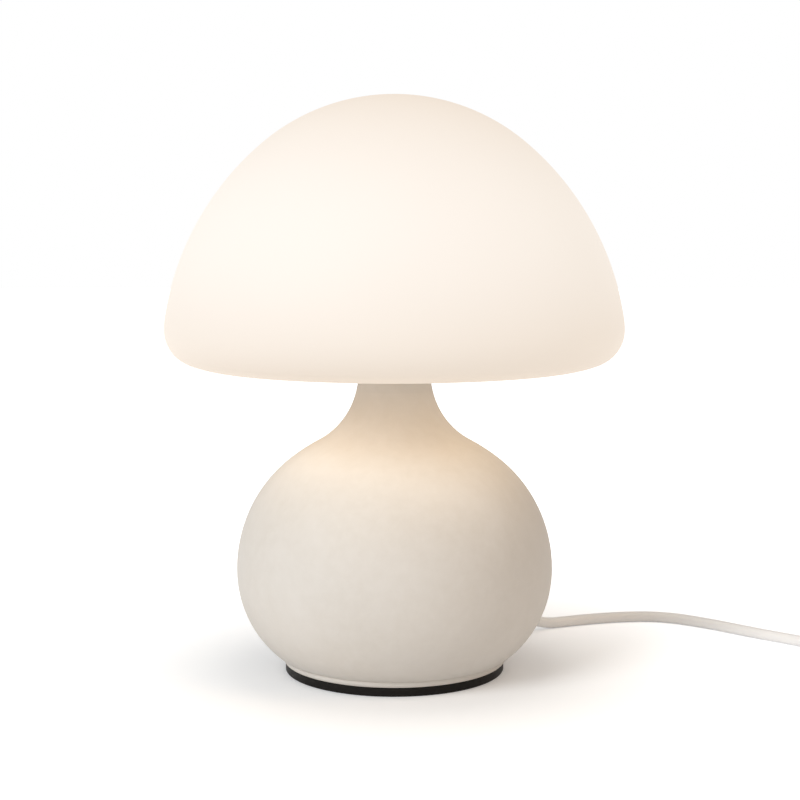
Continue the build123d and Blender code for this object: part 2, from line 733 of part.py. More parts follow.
outlet_side = Vector(outlet_plan[1], -outlet_plan[0], 0)
outlet_section = Plane(origin=outlet_point, x_dir=outlet_side, z_dir=outlet_side.cross(outlet_axis))
outlet_line = Axis(outlet_point, outlet_axis)
cord_radius = cord_diameter / 2
cord_bore = cord_radius + cord_bore_fit
grommet_neck_radius = outlet_hole_radius - outlet_fit
barb_start = -body_wall - grommet_barb_gap
barb_end = barb_start - grommet_barb_length
with BuildPart() as cord_grommet:
    with BuildSketch(outlet_section):
        with BuildLine():
            flange_round = grommet_flange_thickness / 2
            flange_corner = grommet_flange_radius - flange_round * (1 - sqrt(0.5))
            Polyline((grommet_flange_radius - flange_round, grommet_flange_thickness),
                     (grommet_root_radius, grommet_flange_thickness),
                     (grommet_tip_radius, grommet_length), (cord_bore, grommet_length),
                     (cord_bore, barb_end), (grommet_neck_radius, barb_end),
                     (grommet_barb_radius, barb_start), (grommet_neck_radius, barb_start),
                     (grommet_neck_radius, 0), (grommet_flange_radius, 0),
                     (grommet_flange_radius, flange_round))
            ThreePointArc((grommet_flange_radius, flange_round),
                          (flange_corner, flange_round * (1 + sqrt(0.5))),
                          (grommet_flange_radius - flange_round, grommet_flange_thickness))
        make_face()
    revolve(axis=outlet_line)
    sleeve_length = grommet_length - grommet_flange_thickness
    for rib in range(1, grommet_rib_count + 1):
        rib_share = rib / (grommet_rib_count + 1)
        taper_radius = grommet_root_radius + (grommet_tip_radius - grommet_root_radius) * rib_share
        rib_start = grommet_flange_thickness + sleeve_length * rib_share - grommet_rib_height
        with BuildSketch(outlet_plane.offset(rib_start)):
            Circle(taper_radius + grommet_rib_height)
            Circle(cord_bore, mode=Mode.SUBTRACT)
        extrude(amount=2 * grommet_rib_height)
cord_grommet.part.label = "cord_grommet"
export_step(cord_grommet.part, "parts/cord_grommet.step")

with BuildPart() as cord_retainer:
    with BuildSketch(outlet_plane.offset(barb_end - retainer_length)):
        Circle(retainer_radius)
        Circle(cord_bore, mode=Mode.SUBTRACT)
    extrude(amount=retainer_length)
cord_retainer.part.label = "cord_retainer"
export_step(cord_retainer.part, "parts/cord_retainer.step")

inner_cord_length = outlet_wall[0] / sin(radians(outlet_angle)) - sheath_end_gap
with BuildPart() as inner_cord:
    with BuildSketch(outlet_plane.offset(-inner_cord_length)):
        Circle(cord_radius)
    extrude(amount=inner_cord_length + grommet_length)
inner_cord.part.label = "inner_cord"
export_step(inner_cord.part, "parts/inner_cord.step")

# Each wire goes through the pipe's window, up the pipe and out to its terminal
sheath_end = outlet_point - outlet_axis * inner_cord_length
wire_fan_start = pipe_top + wire_fan_room[0]
wire_fan_end = insert_bottom - wire_fan_room[1]
for wire_name, wire_side in (("live_wire", 1), ("neutral_wire", -1)):
    lane = outlet_side * (wire_side * wire_spacing / 2)
    terminal = (wire_side * terminal_offset, 0)
    with BuildPart() as wire:
        with BuildLine() as wire_path:
            FilletPolyline(sheath_end + lane, Vector(0, 0, window_height) + lane,
                           Vector(0, 0, wire_fan_start) + lane, (*terminal, wire_fan_end),
                           (*terminal, insert_bottom + wire_hole_depth),
                           radius=[wire_bend_radius, wire_fan_radius, wire_fan_radius])
        with BuildSketch(Plane(origin=wire_path.wire() @ 0, z_dir=wire_path.wire() % 0)):
            Circle(wire_radius)
        sweep(path=wire_path.wire())
    wire.part.label = wire_name
    export_step(wire.part, f"parts/{wire_name}.step")


# ---- Cord on the table ----

def corner_radii(points):
    """The largest fillet that each corner's two runs allow, less a straight share."""
    radii = []
    for before, corner, after in zip(points, points[1:], points[2:]):
        run_in, run_out = corner - before, after - corner
        half_turn = radians(run_in.get_angle(run_out)) / 2
        radii.append(run_share * min(run_in.length, run_out.length) / tan(half_turn))
    return radii


def outlet_tip(distance):
    """A point on the outlet's axis, outside the body."""
    return outlet_point + outlet_axis * distance


switch_x, switch_back = lead_points[-1][0], lead_points[-1][1]
switch_front = switch_back - switch_length
switch_middle = (switch_back + switch_front) / 2
coil_start = Vector(switch_x + link_drop[0], switch_front + link_drop[1] - link_last_run, cord_height)
coil_centre = coil_start + Vector(coil_outer_radius, -cord_diameter, 0)
coil_layer_rise = cord_diameter + coil_layer_gap
coil_top_height = cord_height + coil_layer_rise
tail_start = coil_centre + Vector(coil_outer_radius, cord_diameter, coil_layer_rise)
tail_heights = [coil_top_height, cord_height, cord_height, plug_entry_height, plug_entry_height]
cord_routes = {
    "cord_lead": [outlet_tip(grommet_length), outlet_tip(grommet_length + lead_first_run)]
                 + [Vector(*point) for point in lead_points],
    "cord_link": [Vector(switch_x, switch_front, switch_entry_height),
                  Vector(switch_x, switch_front - link_first_run, switch_entry_height),
                  Vector(switch_x + link_drop[0], switch_front + link_drop[1], cord_height), coil_start],
    "cord_tail": [tail_start] + [tail_start + Vector(x, y, height - coil_top_height)
                                 for (x, y), height in zip(tail_points, tail_heights)],
}
cord_section = pi * cord_radius ** 2
cord_total = 0
for cord_name, route in cord_routes.items():
    radii = corner_radii(route)
    with BuildPart() as cord_run:
        with BuildLine() as cord_path:
            FilletPolyline(*route, radius=radii)
        with BuildSketch(Plane(origin=cord_path.wire() @ 0, z_dir=cord_path.wire() % 0)):
            Circle(cord_radius)
        sweep(path=cord_path.wire())
    cord_run.part.label = cord_name
    export_step(cord_run.part, f"parts/{cord_name}.step")
    cord_total += cord_path.wire().length
    print(cord_name, "length", round(cord_path.wire().length, 1), "radii", [round(r, 1) for r in radii],
          "volume ratio", round(cord_run.part.volume / (cord_section * cord_path.wire().length), 4))


def coil_point(quarter):
    """Place and direction of the cord's axis at a quarter turn, counted from the coil's outer start."""
    middle = coil_quarter_turns / 2
    inward = min(quarter, coil_quarter_turns - quarter)
    radius = coil_outer_radius - coil_pitch * inward / 4
    angle = pi + quarter * pi / 2
    step = 0 if quarter in (0, middle, coil_quarter_turns) else coil_pitch / (2 * pi)
    radial_step = -step if quarter < middle else step
    climb = min(max((quarter - middle + 1) / 2, 0), 1)
    climb_step = 2 * coil_layer_rise / pi if quarter == middle else 0
    place = coil_centre + Vector(radius * cos(angle), radius * sin(angle), coil_layer_rise * climb)
    direction = Vector(radial_step * cos(angle) - radius * sin(angle),
                       radial_step * sin(angle) + radius * cos(angle), climb_step)
    return place, direction.normalized()


def biarc_joint(start, start_direction, end, end_direction):
    """Where two tangent arcs between two directed points meet."""
    chord = end - start
    both = start_direction + end_direction
    spread = 2 * (1 - start_direction.dot(end_direction))
    along = chord.dot(both)
    reach = (sqrt(along ** 2 + spread * chord.dot(chord)) - along) / spread
    return (start + start_direction * reach + end - end_direction * reach) / 2


with BuildPart() as cord_coil:
    with BuildLine() as coil_path:
        place, direction = coil_point(0)
        Line(coil_start, place)
        for quarter in range(1, coil_quarter_turns + 1):
            next_place, next_direction = coil_point(quarter)
            joint = biarc_joint(place, direction, next_place, next_direction)
            first_arc = TangentArc(place, joint, tangent=direction)
            TangentArc(joint, next_place, tangent=first_arc % 1)
            place, direction = next_place, next_direction
        Line(place, tail_start)
    with BuildSketch(Plane(origin=coil_path.wire() @ 0, z_dir=coil_path.wire() % 0)):
        Circle(cord_radius)
    sweep(path=coil_path.wire())
cord_coil.part.label = "cord_coil"
export_step(cord_coil.part, "parts/cord_coil.step")
coil_length = coil_path.wire().length
cord_total += coil_length + switch_length

# The coil's least gap to itself, measured between points a quarter diameter apart
sample_count = int(4 * coil_length / cord_diameter)
samples = coil_path.wire().positions([index / sample_count for index in range(sample_count + 1)])
apart = int(3 * cord_diameter * sample_count / coil_length)
least_gap = min((first - second).length for index, first in enumerate(samples)
                for second in samples[index + apart:]) - cord_diameter
print("cord_coil length", round(coil_length, 1), "volume ratio",
      round(cord_coil.part.volume / (cord_section * coil_length), 4), "least gap", round(least_gap, 2))
print("cord from outlet to plug", round(cord_total, 1))


# ---- In-line switch ----

def draw_bottle(half_width, end_half_width, shoulder, half_length):
    """A quarter of a long outline whose ends narrow through a double curve, mirrored all round."""
    waist = ((half_width + end_half_width) / 2, (shoulder + half_length) / 2)
    Line((half_width, 0), (half_width, shoulder))
    first_curve = TangentArc((half_width, shoulder), waist, tangent=(0, 1))
    TangentArc(waist, (end_half_width, half_length), tangent=first_curve % 1)
    Line((end_half_width, half_length), (0, half_length))
    mirror(about=Plane.YZ)
    mirror(about=Plane.XZ)


switch_plane = Plane(origin=(switch_x, switch_middle, 0))
switch_cross = Plane(origin=(switch_x, switch_middle, 0), x_dir=(0, 1, 0), z_dir=(1, 0, 0))
half_switch = switch_length / 2
inner_half_width = switch_half_width - switch_wall
inner_end_half_width = switch_end_half_width - switch_wall
ear_start = rocker_width / 2 + rocker_gap
switch_roof = switch_height - switch_wall
screw_places = [(0, switch_screw_offset), (0, -switch_screw_offset)]
with BuildPart() as switch_base:
    with BuildSketch(switch_plane):
        with BuildLine():
            draw_bottle(switch_half_width, switch_end_half_width, switch_shoulder, half_switch)
        make_face()
    extrude(amount=switch_entry_height)
    chamfer(switch_base.faces().sort_by(Axis.Z)[0].edges(), length=switch_wall / 3)
    with BuildSketch(switch_plane.offset(switch_wall)):
        with BuildLine():
            draw_bottle(inner_half_width, inner_end_half_width, switch_shoulder, half_switch - switch_wall)
        make_face()
    extrude(amount=switch_entry_height, mode=Mode.SUBTRACT)
    with BuildSketch(switch_plane.offset(switch_wall)):
        with Locations(*screw_places):
            Circle(switch_boss_radius)
    extrude(amount=switch_pad_height - switch_wall)
    with BuildSketch(switch_plane):
        with Locations(*screw_places):
            Circle(switch_screw_head_radius + switch_screw_fit)
    extrude(amount=switch_screw_head_height + switch_screw_fit, mode=Mode.SUBTRACT)
    with BuildSketch(switch_plane):
        with Locations(*screw_places):
            Circle(switch_screw_radius + switch_screw_fit)
    extrude(amount=switch_pad_height, mode=Mode.SUBTRACT)
    for ear_side in (1, -1):
        with BuildSketch(switch_cross.offset(ear_side * (ear_start + ear_thickness / 2))):
            ear_height = switch_roof - ear_roof_gap - switch_wall
            with Locations((0, switch_wall + ear_height / 2)):
                Rectangle(2 * ear_half_width, ear_height)
            with Locations((0, rocker_pivot_height)):
                Circle(pivot_radius + pivot_fit, mode=Mode.SUBTRACT)
        extrude(amount=ear_thickness / 2, both=True)
switch_base.part.label = "switch_base"
export_step(switch_base.part, "parts/switch_base.step")

with BuildPart() as switch_cover:
    with BuildSketch(switch_plane.offset(switch_entry_height)):
        with BuildLine():
            draw_bottle(switch_half_width, switch_end_half_width, switch_shoulder, half_switch)
        make_face()
    extrude(amount=switch_height - switch_entry_height)
    with BuildSketch(switch_cross):
        with BuildLine():
            TangentArc((switch_shoulder, switch_height), (half_switch, switch_end_height), tangent=(1, 0))
            Line((0, switch_height), (switch_shoulder, switch_height))
            Polyline((half_switch, switch_end_height), (half_switch, 0), (0, 0))
            mirror(about=Plane.YZ)
        make_face()
    extrude(amount=2 * switch_half_width, both=True, mode=Mode.INTERSECT)
    edge_margin = switch_wall / 18
    top_edges = switch_cover.edges().filter_by_position(
        Axis.Z, switch_end_height - edge_margin, switch_height + edge_margin).filter_by(
        lambda edge: abs(edge.center().Y - switch_middle) > half_switch - edge_margin
        or abs(edge.center().X - switch_x) > switch_end_half_width - edge_margin)
    fillet(top_edges, radius=switch_edge_round)
    with BuildSketch(switch_plane.offset(switch_entry_height)):
        with BuildLine():
            draw_bottle(inner_half_width, inner_end_half_width, switch_shoulder, half_switch - switch_wall)
        make_face()
    extrude(amount=switch_end_height - switch_edge_round - switch_entry_height, mode=Mode.SUBTRACT)
    with BuildSketch(switch_plane.offset(switch_entry_height)):
        Rectangle(2 * (inner_half_width - switch_edge_round / 2), 2 * switch_shoulder)
    extrude(amount=switch_roof - switch_entry_height, mode=Mode.SUBTRACT)
    with BuildSketch(switch_plane.offset(switch_roof)):
        Rectangle(rocker_width + 2 * rocker_gap, rocker_length + 2 * rocker_gap)
    extrude(amount=switch_height, mode=Mode.SUBTRACT)
    with BuildSketch(switch_plane.offset(switch_pad_height)):
        with Locations(*screw_places):
            Circle(switch_boss_radius)
            Circle(switch_screw_radius, mode=Mode.SUBTRACT)
    extrude(amount=switch_end_height - switch_edge_round - switch_pad_height)
switch_cover.part.label = "switch_cover"
export_step(switch_cover.part, "parts/switch_cover.step")

with BuildPart() as switch_screws:
    with BuildSketch(switch_plane.offset(switch_screw_fit)):
        with Locations(*screw_places):
            Circle(switch_screw_head_radius)
    extrude(amount=switch_screw_head_height)
    with BuildSketch(switch_plane.offset(switch_screw_fit + switch_screw_head_height)):
        with Locations(*screw_places):
            Circle(switch_screw_radius)
    extrude(amount=switch_screw_length)
switch_screws.part.label = "switch_screws"
export_step(switch_screws.part, "parts/switch_screws.step")

with BuildPart() as switch_contacts:
    with BuildSketch(switch_plane.offset(switch_wall)):
        with Locations((0, contact_strip_offset), (0, -contact_strip_offset)):
            Rectangle(contact_strip[0], contact_strip[1])
    extrude(amount=contact_strip[2])
    with BuildSketch(switch_plane.offset(switch_wall + contact_strip[2])):
        with Locations((0, contact_strip_offset), (0, -contact_strip_offset)):
            Circle(contact_rivet_radius)
    extrude(amount=contact_rivet_height)
switch_contacts.part.label = "switch_contacts"
export_step(switch_contacts.part, "parts/switch_contacts.step")

# The rocker rests with its lamp end pressed down; both ends are round about the pivot
rest_tilt = radians(-rocker_throw / 2)
rocker_plane = Plane(origin=(switch_x, switch_middle, rocker_pivot_height),
                     x_dir=(0, cos(rest_tilt), sin(rest_tilt)), z_dir=(1, 0, 0))
with BuildPart() as switch_rocker:
    with BuildSketch(rocker_plane):
        with BuildLine():
            rocker_radius = rocker_length / 2
            tip = (sqrt(rocker_radius ** 2 - rocker_tip ** 2), rocker_tip)
            heel_corner = (sqrt(rocker_radius ** 2 - rocker_depth ** 2), -rocker_depth)
            Polyline((0, -rocker_depth), heel_corner)
            ThreePointArc(heel_corner, (rocker_radius, 0), tip)
            Line(tip, (0, rocker_dip))
            mirror(about=Plane.YZ)
        make_face()
    extrude(amount=rocker_width / 2, both=True)
    with BuildSketch(rocker_plane):
        Circle(pivot_radius)
    extrude(amount=rocker_width / 2 + pivot_length, both=True)
switch_rocker.part.label = "switch_rocker"
export_step(switch_rocker.part, "parts/switch_rocker.step")

# ---- Plug, lying flat, with its pins towards +Y ----

plug_start = cord_routes["cord_tail"][-1]
plug_back = plug_start.Y + plug_relief_length
plug_face = plug_back + plug_length
plug_plane = Plane(origin=(plug_start.X, plug_back, 0))
pin_lean = asin((pin_root_spacing - pin_tip_spacing) / 2 / (pin_sleeve_length + pin_bare_length))
pin_planes = [Plane(origin=(plug_start.X + side * pin_root_spacing / 2, plug_face, plug_entry_height),
                    x_dir=(0, 0, 1), z_dir=(-side * sin(pin_lean), cos(pin_lean), 0)) for side in (1, -1)]
with BuildPart() as plug_body:
    with BuildSketch(plug_plane):
        with BuildLine():
            head_middle = ((plug_waist_half_width + plug_face_half_width) / 2,
                           (plug_waist_end + plug_head_start) / 2)
            TangentArc((plug_waist_half_width, plug_tail_length), (plug_tail_half_width, 0), tangent=(0, -1))
            Line((0, 0), (plug_tail_half_width, 0))
            Line((plug_waist_half_width, plug_tail_length), (plug_waist_half_width, plug_waist_end))
            head_curve = TangentArc((plug_waist_half_width, plug_waist_end), head_middle, tangent=(0, 1))
            TangentArc(head_middle, (plug_face_half_width, plug_head_start), tangent=head_curve % 1)
            Polyline((plug_face_half_width, plug_head_start), (plug_face_half_width, plug_length),
                     (0, plug_length))
            mirror(about=Plane.YZ)
        make_face()
    extrude(amount=plug_thickness)
    fillet(plug_body.faces().sort_by(Axis.Z)[0].edges() + plug_body.faces().sort_by(Axis.Z)[-1].edges(),
           radius=plug_edge_round)
    with BuildSketch(Plane(origin=plug_start, z_dir=(0, 1, 0))):
        Circle(plug_relief_tip_radius)
    with BuildSketch(Plane(origin=(plug_start.X, plug_back, plug_entry_height), z_dir=(0, 1, 0))):
        Circle(plug_relief_root_radius)
    loft()
    for pin_plane in pin_planes:
        with BuildSketch(pin_plane.offset(-pin_depth)):
            Circle(pin_core_radius + pin_core_fit)
        extrude(amount=2 * pin_depth, mode=Mode.SUBTRACT)
plug_body.part.label = "plug_body"
export_step(plug_body.part, "parts/plug_body.step")

with BuildPart() as plug_pins:
    for pin_plane in pin_planes:
        with BuildSketch(pin_plane.offset(-pin_depth)):
            Circle(pin_core_radius)
        extrude(amount=pin_depth + pin_sleeve_length)
        with BuildSketch(pin_plane.offset(pin_sleeve_length)):
            Circle(pin_radius)
        extrude(amount=pin_bare_length)
    chamfer(plug_pins.edges().group_by(Axis.Y)[-1], length=pin_tip_chamfer)
plug_pins.part.label = "plug_pins"
export_step(plug_pins.part, "parts/plug_pins.step")

# The sleeves lean with their pins, so they start clear of the flat face
sleeve_start = pin_sleeve_radius * sin(pin_lean) + pin_core_fit
with BuildPart() as pin_sleeves:
    for pin_plane in pin_planes:
        with BuildSketch(pin_plane.offset(sleeve_start)):
            Circle(pin_sleeve_radius)
            Circle(pin_core_radius + pin_core_fit, mode=Mode.SUBTRACT)
        extrude(amount=pin_sleeve_length - sleeve_start)
pin_sleeves.part.label = "pin_sleeves"
export_step(pin_sleeves.part, "parts/pin_sleeves.step")

print("shade top", round(crown_height, 2), "bulb top", round(bulb_tip + bulb_length, 2),
      "bulb travel", round(bulb_turns_out * thread_pitch, 2))
print("switch middle", switch_x, switch_middle, "plug face", plug_start.X, round(plug_face, 2))
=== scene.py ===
from math import asin, atan2, cos, degrees, hypot, pi, radians, sin, sqrt

import bmesh
import bpy
from mathutils import Matrix, Vector


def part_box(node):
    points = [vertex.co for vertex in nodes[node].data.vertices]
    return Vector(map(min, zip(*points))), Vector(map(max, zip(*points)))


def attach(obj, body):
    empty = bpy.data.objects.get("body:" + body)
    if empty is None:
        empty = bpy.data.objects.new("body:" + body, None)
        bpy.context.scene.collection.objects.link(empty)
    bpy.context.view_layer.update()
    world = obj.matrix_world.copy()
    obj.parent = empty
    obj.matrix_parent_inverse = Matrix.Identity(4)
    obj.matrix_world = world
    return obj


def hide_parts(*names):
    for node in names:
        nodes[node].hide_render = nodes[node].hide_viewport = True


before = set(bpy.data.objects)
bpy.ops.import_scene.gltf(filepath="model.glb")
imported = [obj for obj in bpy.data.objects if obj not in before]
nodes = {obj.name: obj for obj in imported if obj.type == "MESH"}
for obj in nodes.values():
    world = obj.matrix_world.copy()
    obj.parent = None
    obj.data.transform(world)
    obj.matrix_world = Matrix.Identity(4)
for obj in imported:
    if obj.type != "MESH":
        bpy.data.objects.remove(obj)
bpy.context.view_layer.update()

mm = 0.001


# shader maths: a Link wraps a socket, and plain arithmetic on it adds Math nodes
class Link:
    def __init__(self, finish, socket):
        self.finish, self.socket = finish, socket

    def out(self, name):
        return Link(self.finish, self.socket.node.outputs[name])

    def maths(self, operation, *values):
        return self.finish.add("ShaderNodeMath", {"operation": operation}, dict(enumerate(values)))

    def __add__(self, other): return self.maths("ADD", self, other)
    def __radd__(self, other): return self.maths("ADD", other, self)
    def __sub__(self, other): return self.maths("SUBTRACT", self, other)
    def __rsub__(self, other): return self.maths("SUBTRACT", other, self)
    def __mul__(self, other): return self.maths("MULTIPLY", self, other)
    def __rmul__(self, other): return self.maths("MULTIPLY", other, self)
    def __truediv__(self, other): return self.maths("DIVIDE", self, other)
    def __pow__(self, other): return self.maths("POWER", self, other)

    def clamped(self):
        return self.finish.add("ShaderNodeClamp", {}, {"Value": self})


class NodeTree:
    def __init__(self, tree):
        self.tree = tree
        tree.nodes.clear()

    # one method for every node: its type, its settings, then the values or links of its sockets
    def add(self, kind, settings=None, inputs=None):
        node = self.tree.nodes.new(kind)
        for key, value in (settings or {}).items():
            setattr(node, key, value)
        self.feed(node, inputs or {})
        return Link(self, node.outputs[0]) if node.outputs else node

    # a socket goes by its number, or by its name with or without spaces and capitals
    def feed(self, node, inputs):
        for key, value in inputs.items():
            if isinstance(key, int):
                socket = node.inputs[key]
            else:
                wanted = key.replace(" ", "").lower()
                socket = next(s for s in node.inputs if s.identifier.replace(" ", "").lower() == wanted
                              or s.name.replace(" ", "").lower() == wanted)
            if isinstance(value, Link):
                self.tree.links.new(value.socket, socket)
            elif isinstance(value, (tuple, list)) and socket.type == "RGBA" and len(value) == 3:
                socket.default_value = (*value, 1)
            else:
                socket.default_value = value


class Finish(NodeTree):
    def __init__(self, name, slot, **values):
        self.slot = slot
        self.material = bpy.data.materials.new(name)
        self.material.use_nodes = True
        super().__init__(self.material.node_tree)
        self.shader = self.add("ShaderNodeBsdfPrincipled", {}, values)
        self.output = self.add("ShaderNodeOutputMaterial", {}, {"Surface": self.shader})

    def set(self, **inputs):
        self.feed(self.shader.socket.node, inputs)

    def place(self):
        return self.add("ShaderNodeTexCoord").out("Object")

    def noise(self, scale, detail=3, roughness=0.5, vector=None):
        return self.add("ShaderNodeTexNoise", {}, {
            "Vector": vector or self.place(), "Scale": scale, "Detail": detail, "Roughness": roughness})

    def blend(self, factor, first, second):
        mix = self.add("ShaderNodeMix", {"data_type": "RGBA"}, {
            "Factor_Float": factor, "A_Color": first, "B_Color": second})
        return Link(self, next(s for s in mix.socket.node.outputs if s.identifier == "Result_Color"))

    def bump(self, height, distance, strength=1.0):
        return self.add("ShaderNodeBump", {}, {"Height": height, "Distance": distance, "Strength": strength})


# lengths in metres, scales per metre
# the seam's dark line drawn with these values is painted shade of the gap between mouldings
seamShadeLook = {"halfWidth": 0.00016, "strength": 0.45, "colour": (0.25, 0.24, 0.22)}
# what a finish has unless its own look says otherwise
plainLook = {"metal": 0.0, "ior": 1.5, "roughSpread": 0.15, "patchScale": 60, "grainScale": 2500,
             "patchShare": 0.6, "variation": 0.08, "relief": 0.00002}


def fineFinish(name, slot, ownLook):
    # the common build of a moulded, plated or painted surface: soft patches, fine grain, a little relief
    look = {**plainLook, **ownLook}
    finish = Finish(name, slot, roughness=look["roughness"], metallic=look["metal"], ior=look["ior"])
    patches = finish.noise(look["patchScale"], 3)
    grain = finish.noise(look["grainScale"], 2)
    if "turned" in look:  # fine rings about the lamp's axis, as a lathe or a spinning tool leaves them
        axes = finish.add("ShaderNodeSeparateXYZ", {}, {"Vector": finish.place()})
        radius = (axes.out("X") ** 2 + axes.out("Y") ** 2) ** 0.5
        across = finish.add("ShaderNodeCombineXYZ", {}, {"X": radius, "Y": axes.out("Z")})
        grain = finish.noise(look["turned"], 3, 0.6, across)
    shade = patches * look["patchShare"] + grain * (1 - look["patchShare"])
    dark = tuple(c * (1 - look["variation"]) for c in look["colour"])
    colour = finish.blend(shade, dark, look["colour"])
    if "seam" in look:  # the line where two mould halves or two mouldings meet, darkened with painted shade of the gap between them
        above = finish.add("ShaderNodeSeparateXYZ", {}, {"Vector": finish.place()}).out("Z") - look["seam"]
        away = above.maths("ABSOLUTE", above)
        line = (1 - away / seamShadeLook["halfWidth"]).clamped() * seamShadeLook["strength"]
        colour = finish.blend(line, colour, seamShadeLook["colour"])
    finish.set(baseColor=colour, roughness=look["roughness"] + (shade - 0.5) * look["roughSpread"],
               normal=finish.bump(grain, look["relief"]))
    return finish


# unglazed clay: soft clouds, small blotches and a sandy grain, each noise as (scale, detail, roughness)
# and each blend from its start by its contrast
ceramicLook = {"colour": (0.752, 0.706, 0.648), "dark": (0.705, 0.655, 0.592), "pale": (0.772, 0.730, 0.680),
               "roughness": 0.62, "roughSpread": 0.16, "ior": 1.45,
               "clouds": (24, 4, 0.6), "cloudStart": 0.40, "cloudContrast": 1.5,
               "blotches": (170, 3, 0.6), "blotchStart": 0.30, "blotchContrast": 1.5,
               "sand": (1300, 3, 0.7), "sandStart": 0.5, "sandContrast": 0.7, "sandShare": 0.7,
               "grainHeight": 0.00006, "grainStrength": 0.8}
matteCeramic = Finish("matteCeramic", "matte_ceramic", roughness=ceramicLook["roughness"],
                      ior=ceramicLook["ior"])
clouds = matteCeramic.noise(*ceramicLook["clouds"])
blotches = matteCeramic.noise(*ceramicLook["blotches"])
sand = matteCeramic.noise(*ceramicLook["sand"])
tone = matteCeramic.blend((blotches - ceramicLook["blotchStart"]) * ceramicLook["blotchContrast"],
                          ceramicLook["dark"], ceramicLook["colour"])
tone = matteCeramic.blend((clouds - ceramicLook["cloudStart"]) * ceramicLook["cloudContrast"],
                          tone, ceramicLook["pale"])
tone = matteCeramic.blend((ceramicLook["sandStart"] - sand) * ceramicLook["sandContrast"],
                          tone, ceramicLook["dark"])
grains = sand * ceramicLook["sandShare"] + blotches * (1 - ceramicLook["sandShare"])
matteCeramic.set(baseColor=tone,
                 roughness=ceramicLook["roughness"] + (blotches - 0.5) * ceramicLook["roughSpread"],
                 normal=matteCeramic.bump(grains, ceramicLook["grainHeight"], ceramicLook["grainStrength"]))

# lit opal glass: its glow fades with the height from the bulb, and its underside has a glow of its own
shadeLook = {"glass": (0.25, 0.245, 0.245), "roughness": 0.62, "ior": 1.25,
             "near": (1.0, 0.915, 0.820), "far": (1.0, 0.840, 0.675), "bulbHeight": 0.236, "reach": 0.075,
             "level": 0.625, "hotspot": 0.13, "cloudScale": 9, "cloudSpread": 0.03, "strongest": 2.0,
             "underMouth": (1.0, 0.515, 0.130), "underRim": (1.0, 0.885, 0.705), "mouthLevel": 0.96,
             "underLevel": 0.76, "mouthRadius": 0.04, "warmWidth": 0.028, "heelRadius": 0.0885,
             "heelBlend": 0.004, "rimHeight": 0.1650, "rimBlend": 0.0015}
opalGlass = Finish("opalGlass", "opal_glass", baseColor=shadeLook["glass"], roughness=shadeLook["roughness"],
                   ior=shadeLook["ior"], emissionStrength=shadeLook["strongest"])
axes = opalGlass.add("ShaderNodeSeparateXYZ", {}, {"Vector": opalGlass.place()})
height = axes.out("Z")
radius = (axes.out("X") ** 2 + axes.out("Y") ** 2) ** 0.5
offset = (height - shadeLook["bulbHeight"]) / shadeLook["reach"]
closeness = (1 - offset ** 2).clamped()  # the glass level with the bulb is the brightest
glow = opalGlass.blend(closeness, shadeLook["far"], shadeLook["near"])
# the underside, inside its lowest ring, is next to the bulb's foot and warmer towards its mouth
below = (((shadeLook["rimHeight"] - height) / shadeLook["rimBlend"]).clamped()
         * ((shadeLook["heelRadius"] - radius) / shadeLook["heelBlend"]).clamped())
outward = ((radius - shadeLook["mouthRadius"]) / shadeLook["warmWidth"]).clamped()
underGlow = opalGlass.blend(outward, shadeLook["underMouth"], shadeLook["underRim"])
glow = opalGlass.blend(below, glow, underGlow)
cloudy = opalGlass.noise(shadeLook["cloudScale"], 2)
strength = (shadeLook["level"] + closeness * shadeLook["hotspot"] + (cloudy - 0.5) * shadeLook["cloudSpread"]
            + below * (shadeLook["mouthLevel"] * (1 - outward) + shadeLook["underLevel"] * outward))
opalGlass.set(emissionColor=opalGlass.blend(strength / shadeLook["strongest"], (0, 0, 0), glow))

